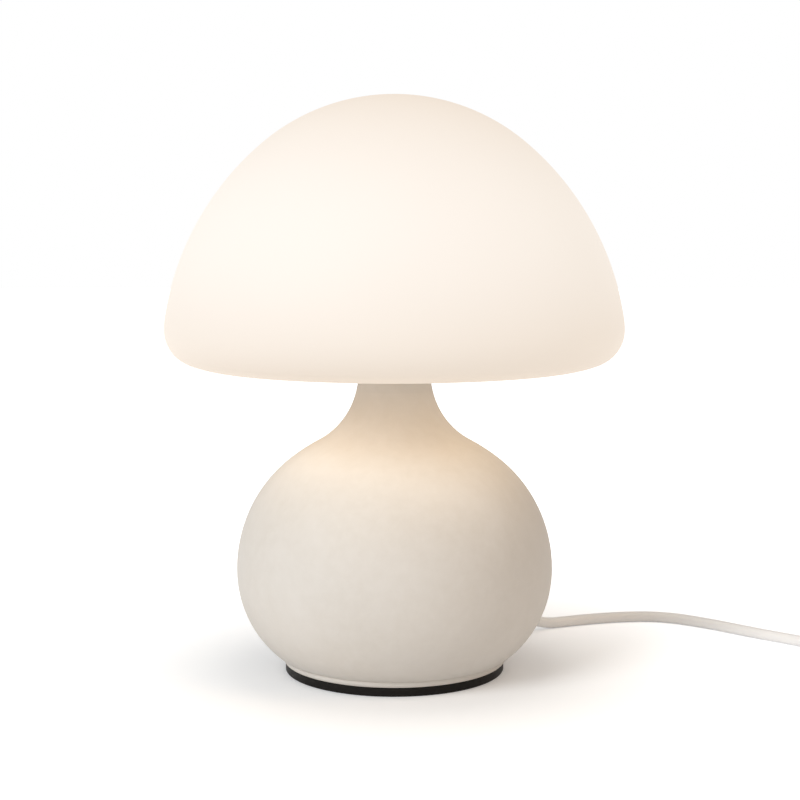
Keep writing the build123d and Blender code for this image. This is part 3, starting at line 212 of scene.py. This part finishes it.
# the other finishes: (slot in the record, what fineFinish reads)
looks = {
    "blackRubber": ("black_rubber", {"colour": (0.0085, 0.007, 0.0055), "roughness": 0.5, "relief": 0.00004,
                                     "ior": 1.25}),
    "zincSteel": ("zinc_steel", {"colour": (0.62, 0.63, 0.64), "roughness": 0.34, "metal": 1.0,
                                 "turned": 2600, "variation": 0.14, "relief": 0.00004}),
    "creamPaint": ("cream_paint", {"colour": (0.72, 0.66, 0.59), "roughness": 0.5, "relief": 0.00003}),
    "clearSilicone": ("clear_silicone", {"colour": (0.80, 0.78, 0.74), "roughness": 0.4}),
    "holderPlastic": ("white_thermoplastic", {"colour": (0.80, 0.79, 0.76), "roughness": 0.42}),
    "holderCeramic": ("holder_ceramic", {"colour": (0.82, 0.81, 0.78), "roughness": 0.22}),
    "contactBrass": ("brass", {"colour": (0.78, 0.57, 0.30), "roughness": 0.3, "metal": 1.0,
                               "patchScale": 140, "variation": 0.16}),
    "capNickel": ("nickel_cap", {"colour": (0.72, 0.70, 0.66), "roughness": 0.27, "metal": 1.0,
                                 "turned": 3200, "variation": 0.1}),
    "capInsulator": ("black_insulator", {"colour": (0.02, 0.02, 0.022), "roughness": 0.2}),
    "bulbPlastic": ("bulb_plastic", {"colour": (0.84, 0.84, 0.82), "roughness": 0.3}),
    "boardWhite": ("board_aluminium", {"colour": (0.85, 0.85, 0.83), "roughness": 0.45}),
    "cordPvc": ("cord_pvc", {"colour": (0.96, 0.95, 0.94), "roughness": 0.38, "patchScale": 90,
                             "variation": 0.04}),
    "brownWire": ("brown_insulation", {"colour": (0.18, 0.07, 0.03), "roughness": 0.4}),
    "blueWire": ("blue_insulation", {"colour": (0.05, 0.16, 0.45), "roughness": 0.4}),
    "switchPlastic": ("switch_plastic", {"colour": (0.86, 0.84, 0.805), "roughness": 0.4, "seam": 0.007}),
    "tieFabric": (None, {"colour": (0.50, 0.49, 0.47), "roughness": 0.85, "grainScale": 1800,
                         "variation": 0.3, "relief": 0.00012}),
    "pinNickel": ("pin_brass", {"colour": (0.74, 0.70, 0.62), "roughness": 0.25, "metal": 1.0}),
    "pinSleeve": ("pin_insulation", {"colour": (0.80, 0.79, 0.75), "roughness": 0.4}),
}
finishes = {name: fineFinish(name, slot, look) for name, (slot, look) in looks.items()}

# the pipe is threaded from end to end: a fine helix in the relief, with painted shade darkening its grooves
pipeLook = {"pitch": 0.001, "depth": 0.0005, "colour": (0.60, 0.60, 0.60), "groove": (0.33, 0.32, 0.30),
            "roughness": 0.30, "wear": 0.15, "wearScale": 300}
threadedSteel = Finish("threadedSteel", "zinc_steel", metallic=1.0)
axes = threadedSteel.add("ShaderNodeSeparateXYZ", {}, {"Vector": threadedSteel.place()})
turn = axes.maths("ARCTAN2", axes.out("Y"), axes.out("X")) / (2 * pi)
advance = axes.out("Z") / pipeLook["pitch"] - turn
crest = advance.maths("PINGPONG", advance, 0.5) * 2
worn = threadedSteel.noise(pipeLook["wearScale"], 3)
# the groove colour below is painted shade in the thread's hollows
threadedSteel.set(baseColor=threadedSteel.blend(crest, pipeLook["groove"], pipeLook["colour"]),
                  roughness=pipeLook["roughness"] + worn * pipeLook["wear"],
                  normal=threadedSteel.bump(crest, pipeLook["depth"]))

bulbLook = {"colour": (0.55, 0.54, 0.52), "glow": (1.0, 0.86, 0.66), "level": 0.62, "roughness": 0.25,
            "frostScale": 40, "frost": 0.3}
opalBulb = Finish("opalBulb", "opal_bulb", baseColor=bulbLook["colour"], roughness=bulbLook["roughness"],
                  emissionStrength=bulbLook["level"])
frost = opalBulb.noise(bulbLook["frostScale"], 2) * bulbLook["frost"]
opalBulb.set(emissionColor=opalBulb.blend(frost, bulbLook["glow"], bulbLook["colour"]))
finishes.update(matteCeramic=matteCeramic, opalGlass=opalGlass, threadedSteel=threadedSteel,
                opalBulb=opalBulb)
print("finishes made:", len(finishes))


sharpAngle = 40  # degrees between two faces above which their edge is drawn sharp


def addPiece(name, mesh, finish, body, replaced=()):
    piece = bpy.data.objects.new(name, mesh)
    bpy.context.scene.collection.objects.link(piece)
    piece.data.materials.append(finish.material)
    if piece.type == "MESH":
        for face in mesh.polygons:
            face.use_smooth = True
        mesh.set_sharp_from_angle(angle=radians(sharpAngle))
    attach(piece, body)
    if replaced:
        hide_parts(*replaced)
    return piece


def dress(nodeName, finish):
    node = nodes[nodeName]
    node.data.materials.clear()
    node.data.materials.append(finish.material)


def arcEnd(start, angle, arc):
    # an arc is (radius, angle of its normal from +Z at the far end), and a hollow arc has a minus radius
    radius, endAngle = arc
    a, b = radians(angle), radians(endAngle)
    return (start[0] + radius * (sin(b) - sin(a)), start[1] + radius * (cos(b) - cos(a)))


def arcPoints(start, angle, arcs, step=2.0, chord=2.5):
    # points along a chain of arcs, at most step degrees and chord mm apart
    points = [start]
    for radius, endAngle in arcs:
        origin = points[-1]
        sweep = abs(endAngle - angle)
        count = max(4, int(sweep / step), int(radians(sweep) * abs(radius) / chord))
        points += [arcEnd(origin, angle, (radius, angle + (endAngle - angle) * i / count))
                   for i in range(1, count + 1)]
        angle = endAngle
    return points


def inset(start, angle, arcs, wall):
    # the same chain of arcs, a wall further in
    first = (start[0] - wall * sin(radians(angle)), start[1] - wall * cos(radians(angle)))
    return first, [(radius - wall, endAngle) for radius, endAngle in arcs]


def latheMesh(name, profile, steps, closed=False, place=None, ripple=None):
    # turn a profile of (radius, height) points in mm about Z; ripple(radius, height, angle) changes a radius
    points = list(profile) + ([profile[0]] if closed else [])
    mesh = bmesh.new()
    rings = []
    for radius, height in points:
        if radius < 1e-6:
            rings.append([mesh.verts.new((0, 0, height * mm))])
            continue
        ring = []
        for i in range(steps):
            angle = 2 * pi * i / steps
            reach = (ripple(radius, height, angle) if ripple else radius) * mm
            ring.append(mesh.verts.new((reach * cos(angle), reach * sin(angle), height * mm)))
        rings.append(ring)
    for low, high in zip(rings, rings[1:]):
        for i in range(steps):
            j = (i + 1) % steps
            corners = [low[i % len(low)], low[j % len(low)], high[j % len(high)], high[i % len(high)]]
            corners = list(dict.fromkeys(corners))  # a ring of one point, on the axis, makes triangles
            if len(corners) > 2:
                mesh.faces.new(corners)
    bmesh.ops.remove_doubles(mesh, verts=mesh.verts, dist=1e-7)
    bmesh.ops.recalc_face_normals(mesh, faces=mesh.faces)
    data = bpy.data.meshes.new(name)
    mesh.to_mesh(data)
    mesh.free()
    if place is not None:
        data.transform(place)
    return data


def threadRipple(crest, depth, pitch, start, end):
    # a rolled round thread between two heights, faded at its ends
    def ripple(radius, height, angle):
        if not start < height < end or abs(radius - crest) > depth:
            return radius
        fade = min(1, (height - start) / pitch * 2, (end - height) / pitch * 2)
        return radius - fade * depth / 2 * (1 + cos(2 * pi * height / pitch - angle))
    return ripple


def heights(low, high, step):
    count = max(1, round((high - low) / step))
    return [low + (high - low) * i / count for i in range(count + 1)]


# cord: the route's points are the solids' own, in metres
cordShape = {"diameter": 0.0062, "bodyLength": 0.2859, "restLength": 1.4324,
             "coilCentre": (0.3041, -0.1522), "coilRadius": 0.0465, "coilPitch": 0.00691,
             "quarterTurns": 22, "lowHeight": 0.00315, "topHeight": 0.00985}
leadPoints = [(0.0687, 0.0687, 0.014228), (0.082712, 0.082712, 0.003154), (0.107, 0.094, 0.00315),
              (0.135, 0.103, 0.00315), (0.160, 0.1035, 0.00315), (0.183, 0.087, 0.00315),
              (0.207, 0.062, 0.00315), (0.230, 0.042, 0.00315), (0.250, 0.020, 0.00315),
              (0.256, -0.004, 0.00315), (0.257, -0.025, 0.007), (0.257, -0.040, 0.007)]
linkPoints = [(0.257, -0.102, 0.007), (0.257, -0.115, 0.007), (0.2576, -0.133, 0.00315),
              (0.2576, -0.146, 0.00315)]
tailPoints = [(0.3506, -0.146, 0.00985), (0.3506, -0.130, 0.00985), (0.350, -0.108, 0.00315),
              (0.348, -0.086, 0.00315), (0.346, -0.066, 0.00685), (0.346, -0.051, 0.00685)]


def coilPoints(pointsPerTurn=24):
    # a spiral in on the table, a climb in its inner half turn, and a spiral out on top
    middle = cordShape["quarterTurns"] / 2
    points = []
    count = int(cordShape["quarterTurns"] / 4 * pointsPerTurn)
    for i in range(count + 1):
        quarter = i * 4 / pointsPerTurn
        inward = min(quarter, cordShape["quarterTurns"] - quarter)
        radius = cordShape["coilRadius"] - cordShape["coilPitch"] * inward / 4
        angle = pi + quarter * pi / 2
        climb = min(max((quarter - middle + 1) / 2, 0), 1)
        height = cordShape["lowHeight"] + (cordShape["topHeight"] - cordShape["lowHeight"]) * climb
        points.append((cordShape["coilCentre"][0] + radius * cos(angle),
                       cordShape["coilCentre"][1] + radius * sin(angle), height))
    return points


def cordCurve(name, points, diameter):
    curve = bpy.data.curves.new(name, "CURVE")
    curve.dimensions = "3D"
    spline = curve.splines.new("NURBS")
    spline.points.add(len(points) - 1)
    for point, place in zip(spline.points, points):
        point.co = (*place, 1)
    spline.order_u = 3
    spline.use_endpoint_u = True
    spline.resolution_u = 6
    curve.bevel_depth = diameter / 2
    curve.bevel_resolution = 5
    curve.use_fill_caps = True
    return curve


pvc = finishes["cordPvc"]
leadCord = addPiece("leadCord", cordCurve("leadCord", leadPoints, cordShape["diameter"]), pvc, "lamp",
                    ["cord_lead"])
coilCord = addPiece("coilCord", cordCurve("coilCord", linkPoints + coilPoints() + tailPoints,
                                          cordShape["diameter"]), pvc, "lamp",
                    ["cord_link", "cord_coil", "cord_tail"])

# the tie that keeps the coil together: a fabric strap once round the turns, its end laid over its start;
# lengths in mm, and its turn in degrees about the coil
tieShape = {"turn": -60, "width": 8.0, "thickness": 0.5, "softEdge": 0.2, "bend": 3.4, "overlap": 8.5,
            "climb": 4, "slack": 0.05, "inner": 26.7, "outer": 48.4, "low": 0.32, "high": 13.2,
            "step": 0.5, "cornerParts": 8, "leastEnd": 0.2}


def tiePath(shape):
    # places (radius, height) and outward directions along the loop, from the middle of its top outwards
    corners = [(shape["outer"], shape["high"], 90), (shape["outer"], shape["low"], 0),
               (shape["inner"], shape["low"], -90), (shape["inner"], shape["high"], -180)]
    places = [((shape["inner"] + shape["outer"]) / 2, shape["high"], 90)]
    for radius, height, start in corners:
        centre = (radius + (-1 if radius == shape["outer"] else 1) * shape["bend"],
                  height + (-1 if height == shape["high"] else 1) * shape["bend"])
        for part in range(shape["cornerParts"] + 1):
            facing = start - part * 90 / shape["cornerParts"]
            places.append((centre[0] + shape["bend"] * cos(radians(facing)),
                           centre[1] + shape["bend"] * sin(radians(facing)), facing))
    places.append((places[0][0], places[0][1], -270))
    steps = [0]
    for before, after in zip(places, places[1:]):
        steps.append(steps[-1] + hypot(after[0] - before[0], after[1] - before[1]))
    return places, steps


def tieMesh(name, shape):
    places, steps = tiePath(shape)
    loop, half, thick, soft = steps[-1], shape["width"] / 2, shape["thickness"] / 2, shape["softEdge"]
    edge = [(half - soft, thick), (half, thick - soft), (half, soft - thick), (half - soft, -thick)]
    across = [half * part / 4 for part in range(3, -4, -1)]
    section = (edge + [(a, -thick) for a in across] + [(-a, -b) for a, b in edge]
               + [(-a, thick) for a in across])
    vertices, end = [], loop + shape["overlap"]
    count = int(end / shape["step"])
    for index in range(count + 1):
        along = end * index / count
        # the end climbs onto the start, and narrows to a round tip
        lap = (min(1, max(0, (along - loop + shape["climb"]) / shape["climb"]))
               * (shape["thickness"] + shape["slack"]))
        spot, span = along % loop, 0
        while steps[span + 1] < spot:
            span += 1
        share = (spot - steps[span]) / (steps[span + 1] - steps[span])
        radius, height, facing = (a + (b - a) * share for a, b in zip(places[span], places[span + 1]))
        taper = max(0.0, (along - end + half) / half)
        for side, depth in section:
            out = depth + lap
            reach = radius + out * cos(radians(facing))
            turn = radians(shape["turn"]) + side * sqrt(max(shape["leastEnd"] ** 2, 1 - taper ** 2)) / reach
            vertices.append((cordShape["coilCentre"][0] + reach * mm * cos(turn),
                             cordShape["coilCentre"][1] + reach * mm * sin(turn),
                             (height + out * sin(radians(facing))) * mm))
    ring = len(section)
    faces = [(i * ring + j, (i + 1) * ring + j, (i + 1) * ring + (j + 1) % ring, i * ring + (j + 1) % ring)
             for i in range(count) for j in range(ring)]
    faces += [tuple(range(ring)), tuple(count * ring + j for j in reversed(range(ring)))]
    mesh = bpy.data.meshes.new(name)
    mesh.from_pydata(vertices, [], faces)
    return mesh


coilTie = addPiece("coilTie", tieMesh("coilTie", tieShape), finishes["tieFabric"], "lamp")
print("cord laid and tied")


# camera: its place in metres, its pitch in degrees below level, its lens and sensor in mm
cameraView = {"place": (0.0029, -0.8657, 0.2316), "pitch": 5.7906, "lens": 74.25, "sensor": 36}
camera = bpy.data.objects.new("camera", bpy.data.cameras.new("camera"))
bpy.context.scene.collection.objects.link(camera)
camera.data.lens = cameraView["lens"]
camera.data.sensor_width = cameraView["sensor"]
camera.location = cameraView["place"]
camera.rotation_euler = (radians(90 - cameraView["pitch"]), 0, 0)
bpy.context.scene.camera = camera

# a pale floor that goes white towards the backdrop, in what the camera and mirrors see alone
floorLook = {"half": 6, "colour": (0.885, 0.895, 0.908), "roughness": 0.9, "fadeStart": 0.08,
             "fadeLength": 0.26, "nearWhite": 0.15, "moreWhite": 0.9, "gloss": 0.1}
half = floorLook["half"]
floorMesh = bpy.data.meshes.new("floor")
floorMesh.from_pydata([(-half, -half, 0), (half, -half, 0), (half, half, 0), (-half, half, 0)], [],
                      [(0, 1, 2, 3)])
floor = bpy.data.objects.new("floor", floorMesh)
bpy.context.scene.collection.objects.link(floor)
floorFinish = Finish("paleFloor", None, baseColor=floorLook["colour"], roughness=floorLook["roughness"],
                     specularIorLevel=floorLook["gloss"])
paths = floorFinish.add("ShaderNodeLightPath")
seen = (paths.out("Is Camera Ray") + paths.out("Is Glossy Ray") + paths.out("Is Transmission Ray")).clamped()
away = floorFinish.add("ShaderNodeVectorMath", {"operation": "LENGTH"}, {0: floorFinish.place()}).out("Value")
fade = ((away - floorLook["fadeStart"]) / floorLook["fadeLength"]).clamped()
whiteness = floorFinish.add("ShaderNodeEmission", {}, {
    "Color": (1, 1, 1), "Strength": seen * (fade * floorLook["moreWhite"] + floorLook["nearWhite"])})
both = floorFinish.add("ShaderNodeAddShader", {}, {0: floorFinish.shader, 1: whiteness})
floorFinish.feed(floorFinish.output, {"Surface": both})
floorMesh.materials.append(floorFinish.material)

world = bpy.data.worlds.new("studio")
bpy.context.scene.world = world
world.use_nodes = True
sky = NodeTree(world.node_tree)
skyLook = {"colour": (1.0, 0.99, 0.98), "strength": 0.37}
ambient = sky.add("ShaderNodeBackground", {}, {"Color": skyLook["colour"], "Strength": skyLook["strength"]})
backdrop = sky.add("ShaderNodeBackground", {}, {"Color": (1, 1, 1), "Strength": 1.0})
lookedAt = sky.add("ShaderNodeLightPath").out("Is Camera Ray")
surround = sky.add("ShaderNodeMixShader", {}, {0: lookedAt, 1: ambient, 2: backdrop})
sky.add("ShaderNodeOutputWorld", {}, {"Surface": surround})

lamps = {"key": {"place": (-1.45, -1.65, 1.3), "size": 1.2, "power": 34.5, "colour": (0.965, 0.985, 1.0)},
         "fill": {"place": (1.7, -0.9, 1.6), "size": 1.2, "power": 9.5, "colour": (1.0, 0.70, 0.42)},
         "top": {"place": (-0.1, 0.5, 2.0), "size": 1.4, "power": 4, "colour": (1.0, 1.0, 1.0)}}
lampAim = Vector((0, 0, 0.12))  # the middle of the ceramic
for name, lamp in lamps.items():
    light = bpy.data.lights.new(name, "AREA")
    light.shape = "DISK"
    light.size, light.energy, light.color = lamp["size"], lamp["power"], lamp["colour"]
    holder = bpy.data.objects.new(name, light)
    bpy.context.scene.collection.objects.link(holder)
    holder.location = lamp["place"]
    holder.rotation_euler = (lampAim - Vector(lamp["place"])).to_track_quat("-Z", "Y").to_euler()
bpy.context.scene.view_settings.view_transform = "Standard"
print("camera and light set")


# glass shade: lengths in mm, and an arc is (radius, angle of its normal at the far end)
shadeShape = {"radius": 120.0, "wall": 3.0, "opening": 35.0, "crownHeight": 302.73,
              "crown": (106.3, 40.0), "skirtAngle": 80.8, "skirt": (40.0, 90.0), "rim": (18.5, 160.0),
              "heel": (54.0, 180.0), "underside": 400.0, "fineness": 1.5, "steps": 160, "edgeParts": 8}
sideReach = (shadeShape["radius"] - shadeShape["crown"][0] * sin(radians(shadeShape["crown"][1]))
             - shadeShape["skirt"][0] * (1 - sin(radians(shadeShape["skirtAngle"]))))
sideRadius = sideReach / (sin(radians(shadeShape["skirtAngle"])) - sin(radians(shadeShape["crown"][1])))
sideArcs = [shadeShape["crown"], (sideRadius, shadeShape["skirtAngle"]), shadeShape["skirt"],
            shadeShape["rim"], shadeShape["heel"]]
heelRadius = arcPoints((0, 0), 0, sideArcs)[-1][0]
underAngle = 180 + degrees(asin((heelRadius - shadeShape["opening"] - shadeShape["wall"] / 2)
                                / shadeShape["underside"]))
shadeArcs = sideArcs + [(shadeShape["underside"], underAngle)]
crown = (0, shadeShape["crownHeight"])
outer = arcPoints(crown, 0, shadeArcs, shadeShape["fineness"])
innerStart, innerArcs = inset(crown, 0, shadeArcs, shadeShape["wall"])
inner = arcPoints(innerStart, 0, innerArcs, shadeShape["fineness"])
tangent = (cos(radians(underAngle)), -sin(radians(underAngle)))
centre = ((outer[-1][0] + inner[-1][0]) / 2, (outer[-1][1] + inner[-1][1]) / 2)
arm = (outer[-1][0] - centre[0], outer[-1][1] - centre[1])
edge = []
for part in range(1, shadeShape["edgeParts"]):
    turn = pi * part / shadeShape["edgeParts"]
    edge.append((centre[0] + arm[0] * cos(turn) + tangent[0] * shadeShape["wall"] / 2 * sin(turn),
                 centre[1] + arm[1] * cos(turn) + tangent[1] * shadeShape["wall"] / 2 * sin(turn)))
addPiece("glassShade", latheMesh("glassShade", outer + edge + inner[::-1], shadeShape["steps"]), opalGlass,
         "shade", ["glass_shade"])
print("shade blown")


# bulb cap and the holder's screw shell, with their round thread: lengths in mm, a foot or head as
# (radius, distance from that end), and a run as its distances from the low and the high end
threadShape = {"pitch": 25.4 / 9, "stepsPerPitch": 12, "steps": 64,
               "capRadius": 6.85, "capDepth": 0.62, "insulatorRadius": 5.9,
               "capFoot": [(6.4, 0.15), (6.7, 0.45)], "capHead": [(6.85, 0.9), (6.72, 0.45), (6.85, 0)],
               "capWall": (1.0, 1.6), "capThread": (0.9, 4.2),
               "shellRadius": 6.95, "shellWall": 0.5, "shellDepth": 0.42, "shellThread": (2, 1),
               "flangeRadius": 9.5}
threadPitch = threadShape["pitch"]
threadStep = threadPitch / threadShape["stepsPerPitch"]
capLow, capHigh = (corner[2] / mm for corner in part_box("bulb_cap"))
capRadius = threadShape["capRadius"]
capWall = heights(capLow + threadShape["capWall"][0], capHigh - threadShape["capWall"][1], threadStep)
capProfile = [(0, capLow), (threadShape["insulatorRadius"], capLow)]
capProfile += [(radius, capLow + up) for radius, up in threadShape["capFoot"]]
capProfile += [(capRadius, height) for height in capWall]
capProfile += [(radius, capHigh - down) for radius, down in threadShape["capHead"]] + [(0, capHigh)]
capThread = threadRipple(capRadius, threadShape["capDepth"], threadPitch,
                         capLow + threadShape["capThread"][0], capHigh - threadShape["capThread"][1])
addPiece("bulbCap", latheMesh("bulbCap", capProfile, threadShape["steps"], ripple=capThread),
         finishes["capNickel"], "bulb", ["bulb_cap"])

shellLow, shellHigh = (corner[2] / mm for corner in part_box("screw_shell"))
shellRadius, shellWall = threadShape["shellRadius"], threadShape["shellWall"]
shellOuter, flangeRadius = shellRadius + shellWall, threadShape["flangeRadius"]
shellOutside = heights(shellLow + shellWall, shellHigh, threadStep)
shellProfile = [(shellRadius, height) for height in heights(shellLow, shellHigh, threadStep)]
shellProfile += [(shellOuter, height) for height in reversed(shellOutside)]
shellProfile += [(flangeRadius, shellLow + shellWall), (flangeRadius, shellLow)]
threadLow, threadHigh = shellLow + threadShape["shellThread"][0], shellHigh - threadShape["shellThread"][1]


def shellRipple(radius, height, angle):
    # the sheet is pressed outwards, so both of its faces move together
    if radius > (shellOuter + flangeRadius) / 2 or not threadLow < height < threadHigh:
        return radius
    fade = min(1, (height - threadLow) / threadPitch * 2, (threadHigh - height) / threadPitch * 2)
    return radius + fade * threadShape["shellDepth"] / 2 * (1 - cos(2 * pi * height / threadPitch - angle))


addPiece("threadedShell", latheMesh("threadedShell", shellProfile, threadShape["steps"], closed=True,
                                    ripple=shellRipple), finishes["contactBrass"], "lamp", ["screw_shell"])


# strain reliefs: a tapered sleeve whose ribs are cut through in turn; lengths in mm, the grooves as their
# distances from the sleeve's root and tip, the flange's edge and the sleeve's foot as (offset, height)
outletShape = {"angle": 119.2, "flange": 7.5, "flangeThick": 2.0, "length": 24.0, "root": 5.2, "tip": 4.2,
               "bore": 3.15, "boreMargin": 0.2, "neck": 4.8, "barb": 6.2, "barbStart": -5.6,
               "barbEnd": -8.6, "ribs": 6, "ribHeight": 0.5, "grooves": (2.2, 1.4), "grooveDepth": 0.9,
               "flangeEdge": [(0, 0), (0, 0.9), (-0.15, 1.4), (-0.5, 1.8), (-1.0, 2.0)],
               "sleeveFoot": [(1.1, 0), (0.75, 0.3)], "sleeveStart": 0.8, "steps": 64}
# the ceramic's outline from its widest ring down to the outlet, as arcs in mm and degrees
equator, belly, tuckRadius = (83.6, 55.0), (63.5, 99.7), 57.5
outletWall = arcEnd(arcEnd(equator, 90, belly), belly[1], (tuckRadius, outletShape["angle"]))
outletPlan = Vector((sqrt(0.5), sqrt(0.5), 0))
outletPoint = (outletPlan * outletWall[0] + Vector((0, 0, outletWall[1]))) * mm
outletTurn = radians(outletShape["angle"])
outletAxis = outletPlan * sin(outletTurn) + Vector((0, 0, cos(outletTurn)))


def alongAxis(origin, axis):
    return Matrix.Translation(origin) @ axis.to_track_quat("Z", "Y").to_matrix().to_4x4()


def reliefRipple(start, end, ribs, depth):
    # grooves between the ribs, each left whole on two sides, a quarter turn on from the one before
    def ripple(radius, along, angle):
        if not start < along < end or radius < outletShape["bore"] + outletShape["boreMargin"]:
            return radius
        place = (along - start) / (end - start) * ribs
        groove = max(0, sin(2 * pi * place)) ** 0.5
        bridge = abs(cos(angle + pi / 2 * int(place))) ** 6
        return radius - depth * groove * (1 - bridge)
    return ripple


def reliefProfile(start, end, rootRadius, tipRadius, bore, step=0.3, tipRound=0.5):
    run = heights(start, end - tipRound, step)
    corner = tipRound * 0.3  # half way round the tip's edge
    outerRun = [(rootRadius + (tipRadius - rootRadius) * (z - start) / (end - start), z) for z in run]
    return outerRun + [(tipRadius - corner, end - corner), (tipRadius - tipRound, end), (bore, end)]


bore, neck, barbStart, barbEnd = (outletShape[key] for key in ("bore", "neck", "barbStart", "barbEnd"))
thick, root, ribHeight = outletShape["flangeThick"], outletShape["root"], outletShape["ribHeight"]
grommetProfile = [(bore, barbEnd), (neck, barbEnd), (outletShape["barb"], barbStart), (neck, barbStart),
                  (neck, 0)]
grommetProfile += [(outletShape["flange"] + across, up) for across, up in outletShape["flangeEdge"]]
grommetProfile += [(root + across, thick + up) for across, up in outletShape["sleeveFoot"]]
grommetProfile += reliefProfile(thick + outletShape["sleeveStart"], outletShape["length"], root + ribHeight,
                                outletShape["tip"] + ribHeight, bore)
grommetRipple = reliefRipple(thick + outletShape["grooves"][0],
                             outletShape["length"] - outletShape["grooves"][1],
                             outletShape["ribs"], outletShape["grooveDepth"])
addPiece("cordGrommet", latheMesh("cordGrommet", grommetProfile, outletShape["steps"], closed=True,
                                  place=alongAxis(outletPoint, outletAxis), ripple=grommetRipple),
         finishes["cordPvc"], "lamp", ["cord_grommet"])

# its start is in metres, the rest in mm
plugRelief = {"start": (0.346, -0.0205, 0.00685), "length": 31.0, "root": 5.75, "rootRound": 0.3,
              "tip": 4.35, "bore": 3.0, "ribs": 7, "grooves": (2.5, 1.5), "grooveDepth": 0.8, "steps": 64}
sleeveProfile = [(plugRelief["bore"], 0), (plugRelief["root"] - plugRelief["rootRound"], 0)]
sleeveProfile += reliefProfile(plugRelief["rootRound"], plugRelief["length"], plugRelief["root"],
                               plugRelief["tip"], plugRelief["bore"])
sleeveRipple = reliefRipple(plugRelief["grooves"][0], plugRelief["length"] - plugRelief["grooves"][1],
                            plugRelief["ribs"], plugRelief["grooveDepth"])
plugSleeve = addPiece("plugRelief", latheMesh(
    "plugRelief", sleeveProfile, plugRelief["steps"], closed=True,
    place=alongAxis(Vector(plugRelief["start"]), Vector((0, -1, 0))), ripple=sleeveRipple),
    finishes["switchPlastic"], "lamp")
print("threads and strain reliefs made")


# grip ridges on the rocker's two flanks and on the plug's sides, sunk to half their depth

def ridgeProfile(length, radius):
    half = length / 2
    out, along = radius * 0.6, radius * 0.2  # a point half way round each end
    return [(0, -half), (out, -half + along), (radius, -half + radius),
            (radius, half - radius), (out, half - along), (0, half)]


# lengths in mm, the pivot in metres; the steps go outwards from the rocker's dip to its tip
rockerRidges = {"length": 8.4, "radius": 0.4, "steps": (3.4, 4.9, 6.4), "dip": 3.2, "tip": (8.19, 5.2),
                "pivot": (0.257, -0.071, 0.012), "restAngle": -7, "parts": 16}
restTurn = Matrix.Rotation(radians(rockerRidges["restAngle"]), 3, "X")
flank = atan2(rockerRidges["tip"][1] - rockerRidges["dip"], rockerRidges["tip"][0])
for side in (-1, 1):
    for count, step in enumerate(rockerRidges["steps"]):
        along = Vector((0, side * step * cos(flank), rockerRidges["dip"] + step * sin(flank))) * mm
        spot = Vector(rockerRidges["pivot"]) + restTurn @ along
        name = f"rockerRidge{'Front' if side < 0 else 'Back'}{count}"
        addPiece(name, latheMesh(
            name, ridgeProfile(rockerRidges["length"], rockerRidges["radius"]), rockerRidges["parts"],
            place=alongAxis(spot, Vector((1, 0, 0)))), finishes["switchPlastic"], "rocker")

# length and radius in mm, the places in metres
plugRidges = {"length": 8.4, "radius": 0.55, "first": -0.0112, "gap": 0.0021, "count": 5, "middle": 0.346,
              "halfWidth": 0.012, "height": 0.00685, "parts": 16}
for side in (-1, 1):
    for count in range(plugRidges["count"]):
        spot = Vector((plugRidges["middle"] + side * plugRidges["halfWidth"],
                       plugRidges["first"] + plugRidges["gap"] * count, plugRidges["height"]))
        name = f"plugRidge{'Left' if side < 0 else 'Right'}{count}"
        addPiece(name, latheMesh(
            name, ridgeProfile(plugRidges["length"], plugRidges["radius"]), plugRidges["parts"],
            place=alongAxis(spot, Vector((0, 0, 1)))), finishes["switchPlastic"], "lamp")
print("grips made")


# the solids that stay, each with its own finish
dressed = {
    "body_shell": "matteCeramic", "foot_ring": "blackRubber", "base_plate": "zincSteel",
    "base_washer": "zincSteel", "base_nut": "zincSteel", "lamp_pipe": "threadedSteel",
    "neck_gasket": "blackRubber",
    "shade_gallery": "creamPaint", "gallery_washer": "zincSteel", "gallery_nut": "zincSteel",
    "cushion_ring": "clearSilicone", "holder_cap": "holderPlastic", "lock_screw": "zincSteel",
    "holder_insert": "holderCeramic", "terminal_screws": "contactBrass", "holder_sleeve": "holderPlastic",
    "centre_contact": "contactBrass", "bulb_contact": "capNickel",
    "bulb_insulator": "capInsulator", "bulb_housing": "bulbPlastic", "led_board": "boardWhite",
    "bulb_globe": "opalBulb",
    "cord_retainer": "holderPlastic", "inner_cord": "cordPvc", "live_wire": "brownWire",
    "neutral_wire": "blueWire", "switch_base": "switchPlastic", "switch_cover": "switchPlastic",
    "switch_screws": "zincSteel", "switch_contacts": "contactBrass", "switch_rocker": "switchPlastic",
    "plug_body": "switchPlastic", "plug_pins": "pinNickel", "pin_sleeves": "pinSleeve",
}
for nodeName, finishName in dressed.items():
    dress(nodeName, finishes[finishName])
print("solids dressed:", len(dressed))
